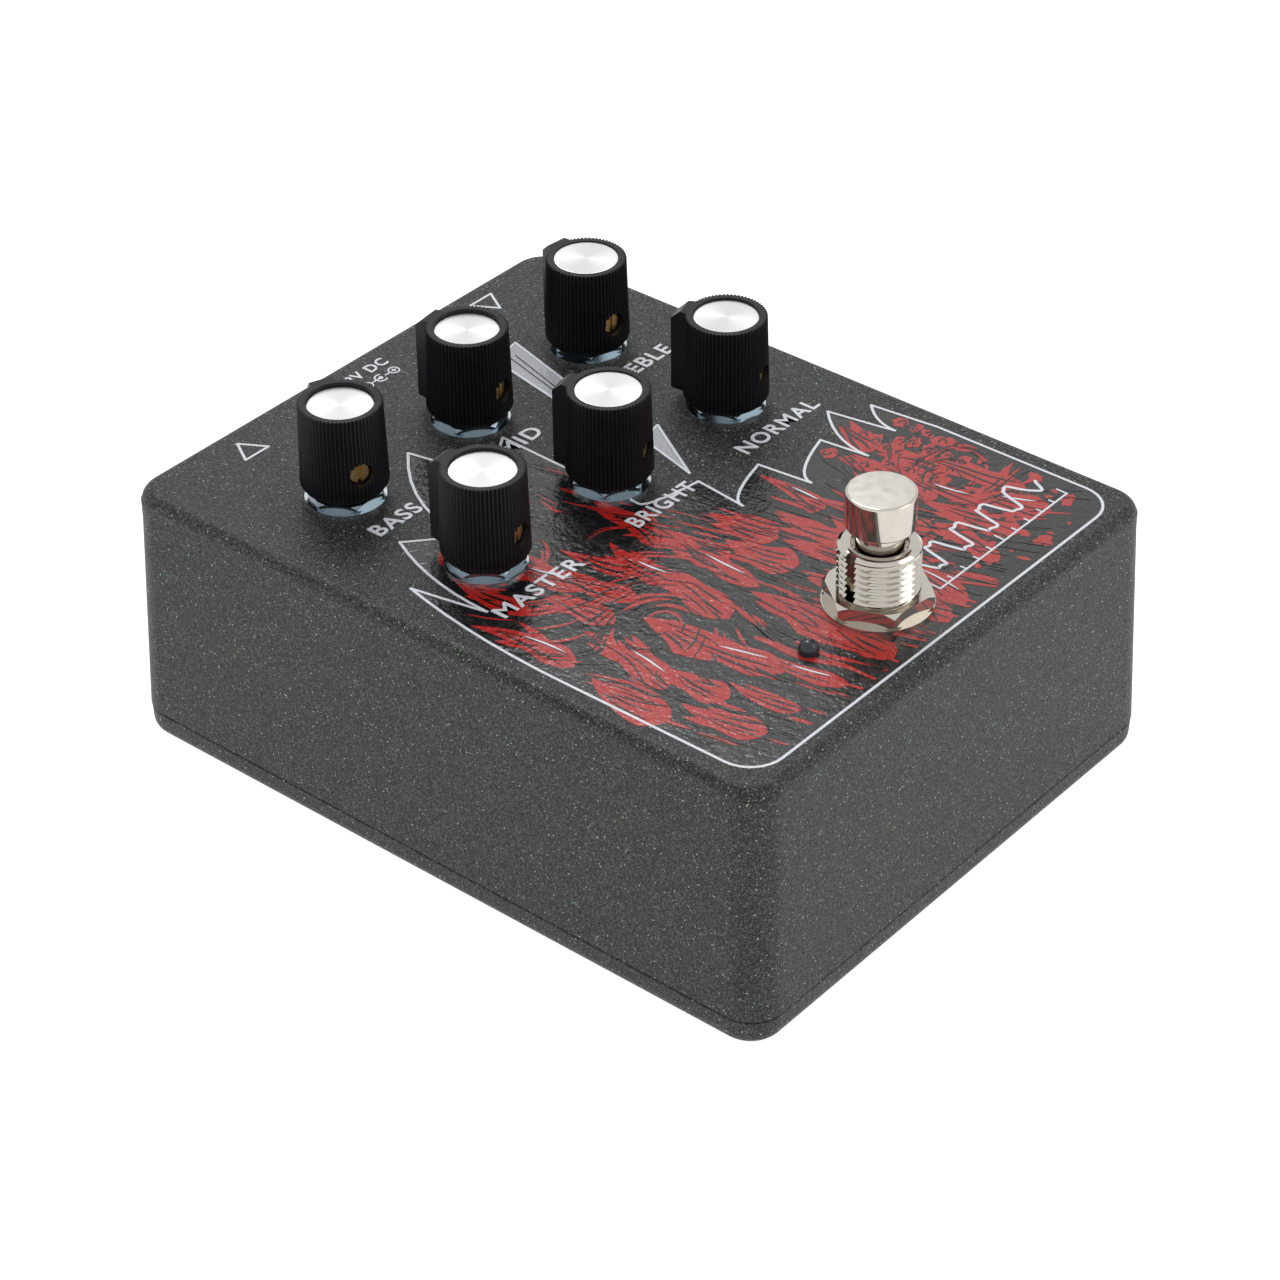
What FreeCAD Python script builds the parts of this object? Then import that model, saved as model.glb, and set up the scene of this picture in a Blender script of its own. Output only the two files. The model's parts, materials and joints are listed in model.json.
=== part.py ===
import FreeCAD, Part
import math
import os

# Guitar effects pedal in a die-cast box: six rotary controls, a footswitch, a lamp,
# two quarter-inch jacks and a DC socket.
# Frame: +X to the player's right, +Y to the rear wall with its sockets, +Z up, millimetres.
# Origin: centre of the box's footprint, on the face that it stands on.

# Box
BOX_X = 94.0                # width at the parting line
BOX_Y = 119.5               # depth at the parting line
BOX_H = 43.0                # height of the top panel's outer face
WALL = 2.2
PANEL = 2.3                 # thickness of the top panel
BODY_DRAFT = 1.9            # degrees, the walls lean inwards going up
CORNER_R = 5.3
TOP_EDGE_R = 1.8
ROOM_EDGE_R = 1.0           # where the walls meet the panel inside
CAST_EDGE_R = 0.3           # small radius of the two edges at the parting line

# Cover
COVER_H = 4.6               # height of the parting line
COVER_FLOOR = 2.3
COVER_DRAFT = 1.7           # degrees, the rim leans inwards going down
COVER_INSET = 0.1           # the cover is this much smaller than the body on each side
COVER_EDGE_R = 2.5
PARTING_GAP = 0.15
TONGUE_H = 2.0
TONGUE_T = 1.6
TONGUE_GAP = 0.15
TONGUE_CORNER_R = 1.5       # inside corners of the tongue

# Cover screws and the posts that they bite into
POST_X = 41.4
POST_Y = 54.1
POST_R = 4.2
POST_HOLE_R = 1.72
POST_HOLE_DEPTH = 14.0
POST_GAP = 0.3              # between a post and the cover's tongue
SCREW_R = 1.68
SCREW_LENGTH = 13.0
SCREW_HEAD_R = 3.3
SCREW_HEAD_H = 1.8
SCREW_RECESS = 0.15
SCREW_CLEARANCE = 0.25
CROSS_REACH = 2.05          # from the screw's axis to the end of each arm
CROSS_HALF = 0.4
CROSS_DEPTH = 1.3

# Controls
COLUMN_PITCH = 27.0
FRONT_ROW_Y = 5.1
REAR_ROW_Y = 32.3
# name, column, row, turn from noon in degrees (counter-clockwise positive),
# gap under the knob as it is set on its shaft, depth of the recess in its top
CONTROLS = [
    ("bass", -1, REAR_ROW_Y, -21.0, 2.15, 0.90),
    ("mid", 0, REAR_ROW_Y, 8.3, 1.95, 0.90),
    ("treble", 1, REAR_ROW_Y, -6.2, 1.60, 0.45),
    ("master", -1, FRONT_ROW_Y, 9.2, 2.00, 0.75),
    ("bright", 0, FRONT_ROW_Y, 16.0, 1.85, 0.50),
    ("normal", 1, FRONT_ROW_Y, 17.1, 1.60, 0.65),
]

# Knob
KNOB_H = 14.0
KNOB_BASE_R = 6.55
KNOB_TOP_R = 6.15
KNOB_BEVEL_R = 0.7
KNOB_BEVEL_H = 1.0
SKIRT_R = 4.6               # hollow at the bottom, which clears the bushing
SKIRT_H = 3.15
RECESS_R = 4.95
INLAY_R = 4.9
INLAY_T = 0.3
POINTER_ROOT = 5.2          # the fin starts this far out, inside the knob's wall
POINTER_ROOT_HALF = 2.1     # half its width there
POINTER_TIP_HALF = 1.3
POINTER_TOP_REACH = 6.7
POINTER_REACH = 8.35
POINTER_SLOPE = 1.55
POINTER_FOOT = 0.4
SET_SCREW_R = 1.5
SET_SCREW_Z = 4.75          # above the knob's bottom
SET_SCREW_OUT = 5.3         # its outer end, from the knob's axis
SET_SCREW_SINK_R = 1.85     # wider mouth of its hole
SET_SCREW_SINK_AT = 4.7     # where the mouth ends, from the knob's axis
SET_SCREW_SLOT = 0.5
SET_SCREW_SLOT_DEPTH = 0.7
THREAD_GAP = 0.03

# Potentiometer
SHAFT_R = 3.0
SHAFT_TOP = 12.6            # above the panel
SHAFT_GAP = 0.04            # running clearance in the bushing
SHAFT_HEADROOM = 0.2        # between the shaft's end and the end of the knob's hole
HUB_BOTTOM = 33.0
ROTOR_R = 6.8
ROTOR_Z = 36.2
ROTOR_T = 1.2
POT_BUSHING_R = 3.5
POT_BUSHING_TOP = 4.7       # above the panel
POT_PLATE_T = 1.2
POT_R = 8.25
POT_DEPTH = 8.8             # below the panel's inner face
POT_SHELL = 0.5
WAFER_R = 7.6
WAFER_T = 1.4
WAFER_HOLE_R = 3.4
TAB_HALF = 6.5
TAB_ROOT = 5.0
TAB_REACH = 11.0
TAB_GAP = 0.1
POT_PIN_PITCH = 5.0
POT_PIN_REACH = 9.8
POT_NUT_AF = 10.0
POT_NUT_H = 1.05
POT_NUT_STEP = 23.0         # degrees that each nut is turned on from the one before
POT_WASHER_R = 6.0
POT_WASHER_T = 0.4

# Footswitch
SWITCH_Y = -43.5
BUSHING_R = 5.9
BUSHING_TOP = 10.2          # above the panel
BUSHING_CHAMFER = 0.5
KEYWAY_W = 1.7
KEYWAY_DEPTH = 1.1
KEYWAY_TURN = 172.0         # degrees from +X
STEM_R = 3.45
STEM_GAP = 0.05
CAP_R = 5.0
CAP_BOTTOM = 12.9           # above the panel
CAP_TOP = 18.5
CAP_CHAMFER = 0.45
STEM_FOOT = 31.5
COLLAR_R = 3.75
COLLAR_T = 1.0
COLLAR_GAP = 0.1            # below the bushing at rest
HOUSING_HALF = 8.75
HOUSING_TOP = 38.0
HOUSING_BOTTOM = 24.0
HOUSING_CORNER_R = 0.8
CAVITY_R = 4.1
CAVITY_FLOOR = 25.2
SPRING_R = 2.6
SPRING_WIRE_R = 0.3
SPRING_TURNS = 4
SWITCH_NUT_AF = 14.0
SWITCH_NUT_H = 2.4
SWITCH_NUT_TURN = 53.0      # degrees from +X to one of its corners
INNER_NUT_GAP = 0.4         # between the inner nut and the housing
SWITCH_WASHER_R = 8.0
SWITCH_WASHER_T = 0.55
LUG_PITCH = 4.8
LUG_HALF = 0.9
LUG_T = 0.6
LUG_GAP = 0.1

# Lamp
LAMP_X = -15.5
LAMP_Y = -43.3
LAMP_R = 1.5
LAMP_FLANGE_R = 1.9
LAMP_FLANGE_T = 1.0
LAMP_TOP = 2.0              # above the panel
LEAD_HALF = 0.25
LEAD_OFFSET = 1.27

# Circuit boards
BOARD_T = 1.6
BOARD_TOP = 29.9
BOARD_HALF_X = 40.5
BOARD_FRONT = -31.0
BOARD_REAR = 49.0
BOARD_CORNER_R = 2.0
SMALL_BOARD_TOP = 20.6
SMALL_BOARD_X = (-20.0, 12.0)
SMALL_BOARD_Y = (-53.0, -28.4)
HEADER_Y = -29.6
HEADER_WAYS = 6
HEADER_PITCH = 2.54
HEADER_HALF = 1.2
PIN_R = 0.4
PIN_HOLE_R = 0.5
PIN_TAIL = 1.0              # length of a pin beyond its board

# Sockets
SOCKET_Z = 22.3
SOCKET_END = 64.0           # Y of the sockets' outer ends
SEAT_IN = 56.6              # Y of the sockets' shoulders
SEAT_OUT = 59.5             # Y where the washers and the ring nut bear
JACK_HALF_X = 7.5
JACK_HALF_Z = 6.0
JACK_LENGTH = 24.0
JACK_CORNER_R = 0.8
JACK_BACK = 1.2
JACK_CAVITY_R = 3.8
JACK_BORE_R = 3.25
JACK_BUSHING_R = 4.75
JACK_BUSHING_SINK = 3.0     # how far the bushing is set into its housing
JACK_NUT_AF = 12.7
JACK_NUT_H = 2.2
JACK_WASHER_R = 7.4
JACK_WASHER_T = 0.8
JACK_PIN_YS = (36.5, 42.5, 48.0)
CONTACT_HALF = 1.2
CONTACT_T = 0.35
CONTACT_GAP = 0.1
DC_HALF_X = 7.0
DC_HALF_Z = 6.0
DC_LENGTH = 16.0
DC_NOSE_R = 5.9
DC_NOSE_END = 63.2
DC_HOLE_R = 2.9
DC_HOLE_DEPTH = 10.5
DC_PIN_R = 1.05
DC_PIN_ROOT_R = 0.8         # where the pin is held in the housing
DC_PIN_SHORT = 0.8          # the pin ends this far inside the mouth
DC_NUT_R = 8.0
DC_NUT_H = 2.2
DC_NUT_NOTCHES = 12
DC_NUT_NOTCH_R = 0.6
DC_PIN_YS = (41.5, 45.5)
HOLE_GAP = 0.15             # a hole's radius beyond that of what goes through it

# Small components, all hanging under the main board
CHIP_PLACES = [(x, 14) for x in (-27, 0, 27)]
CHIP_HALF = (4.8, 3.2)
CHIP_H = 3.3
CHIP_GAP = 0.6              # between the chip and the board
CHIP_NOTCH_R = 0.8
CHIP_NOTCH_DEPTH = 0.4
CHIP_LEGS = 4               # on each side
LEG_HALF = 0.3
LEG_T = 0.3
LEG_REACH = 0.6
LEG_DROP = 1.6              # from the chip's face to the leg's shoulder
CAN_PLACES = [(x, 29) for x in (-34, -13.5, 13.5, 34)]
CAN_R = 3.15
CAN_H = 11.0
CAN_EDGE_R = 0.4
FILM_PLACES = [(x, y) for y in (2, -8, -18) for x in (-32, -16, 16, 32)]
FILM_HALF = (3.6, 1.6)
FILM_H = 7.5
FILM_EDGE_R = 0.3
RESISTOR_PLACES = [(x, y) for y in (20, 7, -13, -23) for x in (-32, -16, 0, 16, 32)]
RESISTOR_HALF = 3.1
RESISTOR_R = 1.15
RESISTOR_DROP = 1.5         # from the board to the resistor's axis
WIRE_REACH = 5.08
WIRE_R = 0.3
WIRE_LEG_R = 0.35
WIRE_BEND = 0.4

Z_UP = FreeCAD.Vector(0, 0, 1)
Y_BACK = FreeCAD.Vector(0, 1, 0)
PANEL_IN = BOX_H - PANEL
BOARD_UNDER = BOARD_TOP - BOARD_T
HEX_TURNING = 0.6           # share of a hex nut's corners that is turned down at its faces
SINK = 0.5                  # how far a piece runs into the one that it is fused to
OVERRUN = 1.0               # how far a cutting shape runs past the face that it opens


def vec(x, y, z):
    return FreeCAD.Vector(x, y, z)


def cylinder(x, y, z, radius, height, axis=Z_UP):
    return Part.makeCylinder(radius, height, vec(x, y, z), axis)


def cone(x, y, z, low_r, top_r, height):
    return Part.makeCone(low_r, top_r, height, vec(x, y, z))


def block(x0, x1, y0, y1, z0, z1):
    return Part.makeBox(x1 - x0, y1 - y0, z1 - z0, vec(x0, y0, z0))


def column(x, y, half_x, half_y, z0, z1):
    """A block centred on a place in plan."""
    return block(x - half_x, x + half_x, y - half_y, y + half_y, z0, z1)


def ring(x, y, z, outer_r, inner_r, height, axis=Z_UP):
    return cylinder(x, y, z, outer_r, height, axis).cut(cylinder(x, y, z, inner_r, height, axis))


def hex_nut(x, y, z, across_flats, bore_r, height, axis=Z_UP, turn=0.0):
    """A hex nut with its corners turned down at both faces and a bore through it."""
    corner_r = across_flats / math.sqrt(3)
    angles = [math.radians(60 * i + turn) for i in range(7)]
    points = [vec(corner_r * math.cos(angle), corner_r * math.sin(angle), 0) for angle in angles]
    prism = Part.Face(Part.makePolygon(points)).extrude(vec(0, 0, height))
    turned = cylinder(0, 0, 0, corner_r, height)
    turned = turned.makeChamfer((corner_r - across_flats / 2) * HEX_TURNING, turned.Edges)
    nut = prism.common(turned).cut(cylinder(0, 0, 0, bore_r, height))
    nut.Placement = FreeCAD.Placement(vec(x, y, z), FreeCAD.Rotation(Z_UP, axis))
    return nut


def frustum(low_half, low_z, top_half, top_z):
    """A rectangular block whose four walls lean, from half sizes at its two ends."""
    low_x, low_y = low_half
    top_x, top_y = top_half
    solid = Part.makeWedge(-low_x, 0, -low_y, -top_y, -top_x, low_x, top_z - low_z, low_y, top_y, top_x)
    solid.rotate(vec(0, 0, 0), vec(1, 0, 0), 90)
    solid.translate(vec(0, 0, low_z))
    return solid


def edges_at(shape, height):
    """The edges that lie wholly at one height."""
    return [e for e in shape.Edges
            if abs(e.BoundBox.ZMin - height) < 1e-6 and abs(e.BoundBox.ZMax - height) < 1e-6]


def standing_edges(shape):
    """The edges that run from the shape's bottom to its top."""
    tall = shape.BoundBox.ZLength
    return [e for e in shape.Edges if e.BoundBox.ZLength > 0.99 * tall]


def drafted_block(half, low_z, top_z, draft, corner_r):
    """A block that leans inwards going up by the draft angle, with rounded standing edges."""
    lean = (top_z - low_z) * math.tan(math.radians(draft))
    top_half = (half[0] - lean, half[1] - lean)
    solid = frustum(half, low_z, top_half, top_z)
    return solid.makeFillet(corner_r, standing_edges(solid))


# Places

def post_places():
    return [(sx * POST_X, sy * POST_Y) for sx in (-1, 1) for sy in (-1, 1)]


def control_places():
    return [(place * COLUMN_PITCH, row) for name, place, row, turn, lift, recess in CONTROLS]


def pot_pin_places():
    return [(x + i * POT_PIN_PITCH, y - POT_PIN_REACH) for x, y in control_places() for i in (-1, 0, 1)]


def jack_pin_places():
    return [(sx * COLUMN_PITCH, y) for sx in (-1, 1) for y in JACK_PIN_YS]


def dc_pin_places():
    return [(0, y) for y in DC_PIN_YS]


def header_pin_places():
    first = -(HEADER_WAYS - 1) / 2 * HEADER_PITCH
    return [(first + i * HEADER_PITCH, HEADER_Y) for i in range(HEADER_WAYS)]


def lug_places():
    return [(i * LUG_PITCH, SWITCH_Y + j * LUG_PITCH) for i in (-1, 0, 1) for j in (-1, 0, 1)]


def lead_places():
    return [(LAMP_X + s * LEAD_OFFSET, LAMP_Y) for s in (-1, 1)]


# Casing

def enclosure_body():
    """The drafted shell with its corner posts and every hole in its panel and rear wall."""
    low_z = COVER_H + PARTING_GAP / 2
    outer = drafted_block((BOX_X / 2, BOX_Y / 2), low_z, BOX_H, BODY_DRAFT, CORNER_R)
    outer = outer.makeFillet(TOP_EDGE_R, edges_at(outer, BOX_H))
    outer = outer.makeFillet(CAST_EDGE_R, edges_at(outer, low_z))
    room = drafted_block((BOX_X / 2 - WALL, BOX_Y / 2 - WALL), low_z, PANEL_IN, BODY_DRAFT, CORNER_R - WALL)
    room = room.makeFillet(ROOM_EDGE_R, edges_at(room, PANEL_IN))
    shell = outer.cut(room)
    for x, y in post_places():
        shell = shell.fuse(cylinder(x, y, COVER_H, POST_R, PANEL_IN + SINK - COVER_H))
    for x, y in post_places():
        shell = shell.cut(cylinder(x, y, COVER_H, POST_HOLE_R, POST_HOLE_DEPTH))
    panel_holes = [(x, y, POT_BUSHING_R) for x, y in control_places()]
    panel_holes += [(0, SWITCH_Y, BUSHING_R), (LAMP_X, LAMP_Y, LAMP_R)]
    for x, y, radius in panel_holes:
        shell = shell.cut(cylinder(x, y, PANEL_IN - OVERRUN, radius + HOLE_GAP, PANEL + 2 * OVERRUN))
    inner_y = SEAT_IN - JACK_BUSHING_SINK
    for x, radius in ((-COLUMN_PITCH, JACK_BUSHING_R), (COLUMN_PITCH, JACK_BUSHING_R), (0, DC_NOSE_R)):
        through = cylinder(x, inner_y, SOCKET_Z, radius + HOLE_GAP, SOCKET_END - inner_y, Y_BACK)
        shell = shell.cut(through)
    return shell


def bottom_cover():
    """A shallow tray with screw pads, and a tongue that centres it inside the body."""
    top_z = COVER_H - PARTING_GAP / 2
    half = (BOX_X / 2 - COVER_INSET, BOX_Y / 2 - COVER_INSET)
    lean = top_z * math.tan(math.radians(COVER_DRAFT))
    tray = frustum((half[0] - lean, half[1] - lean), 0, half, top_z)
    tray = tray.makeFillet(CORNER_R - COVER_INSET, standing_edges(tray))
    tray = tray.makeFillet(COVER_EDGE_R, edges_at(tray, 0))
    tray = tray.makeFillet(CAST_EDGE_R, edges_at(tray, top_z))
    tongue_half = (BOX_X / 2 - WALL - TONGUE_GAP, BOX_Y / 2 - WALL - TONGUE_GAP)
    tongue_top = COVER_H + TONGUE_H
    tongue = drafted_block(tongue_half, COVER_FLOOR - SINK, tongue_top, BODY_DRAFT, CORNER_R - WALL)
    inner_half = (tongue_half[0] - TONGUE_T, tongue_half[1] - TONGUE_T)
    pocket = drafted_block(inner_half, COVER_FLOOR, tongue_top + OVERRUN, 0, TONGUE_CORNER_R)
    cover = tray.fuse(tongue).cut(pocket)
    for x, y in post_places():
        cover = cover.cut(cylinder(x, y, COVER_H, POST_R + POST_GAP, TONGUE_H + OVERRUN))
        cover = cover.fuse(cylinder(x, y, COVER_FLOOR - SINK, POST_R, COVER_H - COVER_FLOOR + SINK))
    whole = frustum((BOX_X / 2, BOX_Y / 2), top_z, (BOX_X / 2, BOX_Y / 2), tongue_top + OVERRUN)
    for x, y in post_places():
        corner = column(x * 1.5, y * 1.5, POST_X / 2, POST_Y / 2, COVER_H, tongue_top + OVERRUN)
        cover = cover.cut(whole.common(corner))
        hole_r = SCREW_R + SCREW_CLEARANCE
        cover = cover.cut(cylinder(x, y, 0, hole_r, COVER_H + OVERRUN))
        cover = cover.cut(cone(x, y, 0, SCREW_HEAD_R + SCREW_CLEARANCE, hole_r, SCREW_HEAD_H))
    return cover.removeSplitter()


def cover_screw(x, y):
    """A countersunk screw with a cross recess, its head just below the cover's face."""
    z = SCREW_RECESS
    screw = cone(x, y, z, SCREW_HEAD_R, SCREW_R, SCREW_HEAD_H)
    screw = screw.fuse(cylinder(x, y, z, SCREW_R, SCREW_LENGTH))
    for half_x, half_y in ((CROSS_REACH, CROSS_HALF), (CROSS_HALF, CROSS_REACH)):
        screw = screw.cut(column(x, y, half_x, half_y, 0, z + CROSS_DEPTH))
    return screw


# Controls. Each is made about its own axis with its pointer towards +Y, then turned and placed.

def pointer_fin(z):
    """The knob's pointer, a fin that narrows to its tip and slopes down at its top."""
    top = z + KNOB_H
    foot = z + POINTER_FOOT
    side = [vec(0, POINTER_ROOT, foot), vec(0, POINTER_REACH, foot),
            vec(0, POINTER_REACH, top - POINTER_SLOPE), vec(0, POINTER_TOP_REACH, top),
            vec(0, POINTER_ROOT, top)]
    fin = Part.Face(Part.makePolygon(side + [side[0]])).extrude(vec(2 * POINTER_ROOT_HALF, 0, 0))
    fin.translate(vec(-POINTER_ROOT_HALF, 0, 0))
    plan = [vec(-POINTER_ROOT_HALF, POINTER_ROOT, z), vec(POINTER_ROOT_HALF, POINTER_ROOT, z),
            vec(POINTER_TIP_HALF, POINTER_REACH, z), vec(-POINTER_TIP_HALF, POINTER_REACH, z)]
    return fin.common(Part.Face(Part.makePolygon(plan + [plan[0]])).extrude(vec(0, 0, KNOB_H)))


def knob(lift, recess):
    """The knob's body with its hollow skirt, shaft hole, top recess, screw hole and pointer."""
    z = BOX_H + lift
    slope = (KNOB_BASE_R - KNOB_TOP_R) / KNOB_H
    bevel_r = KNOB_BASE_R - slope * KNOB_BEVEL_H
    body = cone(0, 0, z, KNOB_BASE_R - KNOB_BEVEL_R, bevel_r, KNOB_BEVEL_H)
    body = body.fuse(cone(0, 0, z + KNOB_BEVEL_H, bevel_r, KNOB_TOP_R, KNOB_H - KNOB_BEVEL_H))
    body = body.fuse(pointer_fin(z))
    body = body.cut(cylinder(0, 0, z, SKIRT_R, SKIRT_H))
    body = body.cut(cylinder(0, 0, z, SHAFT_R + THREAD_GAP, BOX_H + SHAFT_TOP + SHAFT_HEADROOM - z))
    body = body.cut(cylinder(0, 0, z + KNOB_H - recess, RECESS_R, recess))
    out_r = KNOB_BASE_R + OVERRUN
    screw_z = z + SET_SCREW_Z
    body = body.cut(cylinder(0, 0, screw_z, SET_SCREW_R + THREAD_GAP, out_r, -Y_BACK))
    mouth_length = out_r - SET_SCREW_SINK_AT
    return body.cut(cylinder(0, -SET_SCREW_SINK_AT, screw_z, SET_SCREW_SINK_R, mouth_length, -Y_BACK))


def knob_inlay(lift, recess):
    return cylinder(0, 0, BOX_H + lift + KNOB_H - recess, INLAY_R, INLAY_T)


def knob_screw(lift):
    """A slotted set screw that bears on the shaft."""
    z = BOX_H + lift + SET_SCREW_Z
    screw = cylinder(0, -SHAFT_R, z, SET_SCREW_R, SET_SCREW_OUT - SHAFT_R, -Y_BACK)
    reach = SET_SCREW_R + OVERRUN
    floor_y = -SET_SCREW_OUT + SET_SCREW_SLOT_DEPTH
    half = SET_SCREW_SLOT / 2
    return screw.cut(block(-half, half, -SET_SCREW_OUT - OVERRUN, floor_y, z - reach, z + reach))


def pot_shaft():
    """The control's shaft with the wiper carrier at its lower end."""
    shaft = cylinder(0, 0, HUB_BOTTOM, SHAFT_R, BOX_H + SHAFT_TOP - HUB_BOTTOM)
    return shaft.fuse(cylinder(0, 0, ROTOR_Z, ROTOR_R, ROTOR_T))


def place_control(shape, x, y, turn):
    placed = shape.copy()
    placed.rotate(vec(0, 0, 0), Z_UP, turn)
    placed.translate(vec(x, y, 0))
    return placed


def pot_bushing(x, y):
    z = PANEL_IN - POT_PLATE_T
    height = BOX_H + POT_BUSHING_TOP - z
    part = cylinder(x, y, z, POT_R, POT_PLATE_T)
    part = part.fuse(cylinder(x, y, z, POT_BUSHING_R, height))
    return part.cut(cylinder(x, y, z - OVERRUN, SHAFT_R + SHAFT_GAP, height + 2 * OVERRUN))


def wafer_tab(x, y, grow=0.0):
    z = PANEL_IN - POT_PLATE_T - WAFER_T
    return block(x - TAB_HALF - grow, x + TAB_HALF + grow, y - TAB_REACH, y - TAB_ROOT, z - grow, z + WAFER_T)


def pot_case(x, y):
    z = PANEL_IN - POT_DEPTH
    height = POT_DEPTH - POT_PLATE_T
    case = cylinder(x, y, z, POT_R, height)
    case = case.cut(cylinder(x, y, z + POT_SHELL, POT_R - POT_SHELL, height))
    return case.cut(wafer_tab(x, y, TAB_GAP))


def pot_wafer(x, y):
    z = PANEL_IN - POT_PLATE_T - WAFER_T
    wafer = cylinder(x, y, z, WAFER_R, WAFER_T).fuse(wafer_tab(x, y))
    return wafer.cut(cylinder(x, y, z, WAFER_HOLE_R, WAFER_T))


def pot_terminal(x, y):
    low = BOARD_UNDER - PIN_TAIL
    return cylinder(x, y, low, PIN_R, PANEL_IN - POT_PLATE_T - WAFER_T - low)


def pot_nuts():
    bore_r = POT_BUSHING_R + THREAD_GAP
    z = BOX_H + POT_WASHER_T
    return [hex_nut(x, y, z, POT_NUT_AF, bore_r, POT_NUT_H, turn=i * POT_NUT_STEP)
            for i, (x, y) in enumerate(control_places())]


def pot_washer(x, y):
    return ring(x, y, BOX_H, POT_WASHER_R, POT_BUSHING_R + HOLE_GAP, POT_WASHER_T)


# Footswitch

def switch_bushing():
    """The threaded barrel that the panel is clamped on, with a keyway down its side."""
    top = BOX_H + BUSHING_TOP
    below = HOUSING_TOP - OVERRUN
    barrel = cylinder(0, 0, HOUSING_TOP, BUSHING_R, top - HOUSING_TOP)
    barrel = barrel.makeChamfer(BUSHING_CHAMFER, edges_at(barrel, top))
    barrel = barrel.cut(cylinder(0, 0, below, STEM_R + STEM_GAP, top + OVERRUN - below))
    half = KEYWAY_W / 2
    key = block(BUSHING_R - KEYWAY_DEPTH, BUSHING_R + OVERRUN, -half, half, below, top + OVERRUN)
    key.rotate(vec(0, 0, 0), Z_UP, KEYWAY_TURN)
    barrel = barrel.cut(key)
    barrel.translate(vec(0, SWITCH_Y, 0))
    return barrel


def switch_button():
    """The cap that is pressed, its stem, and the collar that keeps the stem in."""
    cap = cylinder(0, SWITCH_Y, BOX_H + CAP_BOTTOM, CAP_R, CAP_TOP - CAP_BOTTOM)
    cap = cap.makeChamfer(CAP_CHAMFER, edges_at(cap, BOX_H + CAP_TOP) + edges_at(cap, BOX_H + CAP_BOTTOM))
    stem = cylinder(0, SWITCH_Y, STEM_FOOT, STEM_R, BOX_H + CAP_BOTTOM + SINK - STEM_FOOT)
    collar = cylinder(0, SWITCH_Y, HOUSING_TOP - COLLAR_GAP - COLLAR_T, COLLAR_R, COLLAR_T)
    return cap.fuse(stem).fuse(collar)


def switch_housing():
    housing = column(0, SWITCH_Y, HOUSING_HALF, HOUSING_HALF, HOUSING_BOTTOM, HOUSING_TOP)
    housing = housing.makeFillet(HOUSING_CORNER_R, standing_edges(housing))
    return housing.cut(cylinder(0, SWITCH_Y, CAVITY_FLOOR, CAVITY_R, HOUSING_TOP))


def switch_spring():
    """The return spring between the housing's floor and the stem's foot."""
    low = CAVITY_FLOOR + SPRING_WIRE_R
    length = STEM_FOOT - CAVITY_FLOOR - 2 * SPRING_WIRE_R
    path = Part.makeHelix(length / SPRING_TURNS, length, SPRING_R)
    section = Part.Wire(Part.Circle(vec(SPRING_R, 0, 0), Y_BACK, SPRING_WIRE_R).toShape())
    coil = Part.Wire(path).makePipeShell([section], True, True)
    coil.translate(vec(0, SWITCH_Y, low))
    return coil


def switch_lug(x, y):
    return column(x, y, LUG_HALF, LUG_T / 2, SMALL_BOARD_TOP - BOARD_T - PIN_TAIL, HOUSING_BOTTOM)


def switch_nut():
    z = BOX_H + SWITCH_WASHER_T
    bore_r = BUSHING_R + THREAD_GAP
    return hex_nut(0, SWITCH_Y, z, SWITCH_NUT_AF, bore_r, SWITCH_NUT_H, turn=SWITCH_NUT_TURN)


def switch_inner_nut():
    height = PANEL_IN - HOUSING_TOP - INNER_NUT_GAP
    return hex_nut(0, SWITCH_Y, PANEL_IN - height, SWITCH_NUT_AF, BUSHING_R + THREAD_GAP, height)


def switch_washer():
    return ring(0, SWITCH_Y, BOX_H, SWITCH_WASHER_R, BUSHING_R + HOLE_GAP, SWITCH_WASHER_T)


# Lamp

def led_lens():
    z = PANEL_IN - LAMP_FLANGE_T
    straight = BOX_H + LAMP_TOP - LAMP_R - z
    lens = cylinder(LAMP_X, LAMP_Y, z, LAMP_R, straight)
    lens = lens.fuse(Part.makeSphere(LAMP_R, vec(LAMP_X, LAMP_Y, z + straight)))
    return lens.fuse(cylinder(LAMP_X, LAMP_Y, z, LAMP_FLANGE_R, LAMP_FLANGE_T)).removeSplitter()


def led_lead(x, y):
    return column(x, y, LEAD_HALF, LEAD_HALF, SMALL_BOARD_TOP - BOARD_T - PIN_TAIL, PANEL_IN - LAMP_FLANGE_T)


# Sockets

def jack_bushing(x):
    """The threaded metal sleeve of a jack, set into its housing."""
    y = SEAT_IN - JACK_BUSHING_SINK
    return ring(x, y, SOCKET_Z, JACK_BUSHING_R, JACK_BORE_R, SOCKET_END - y, Y_BACK)


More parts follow.
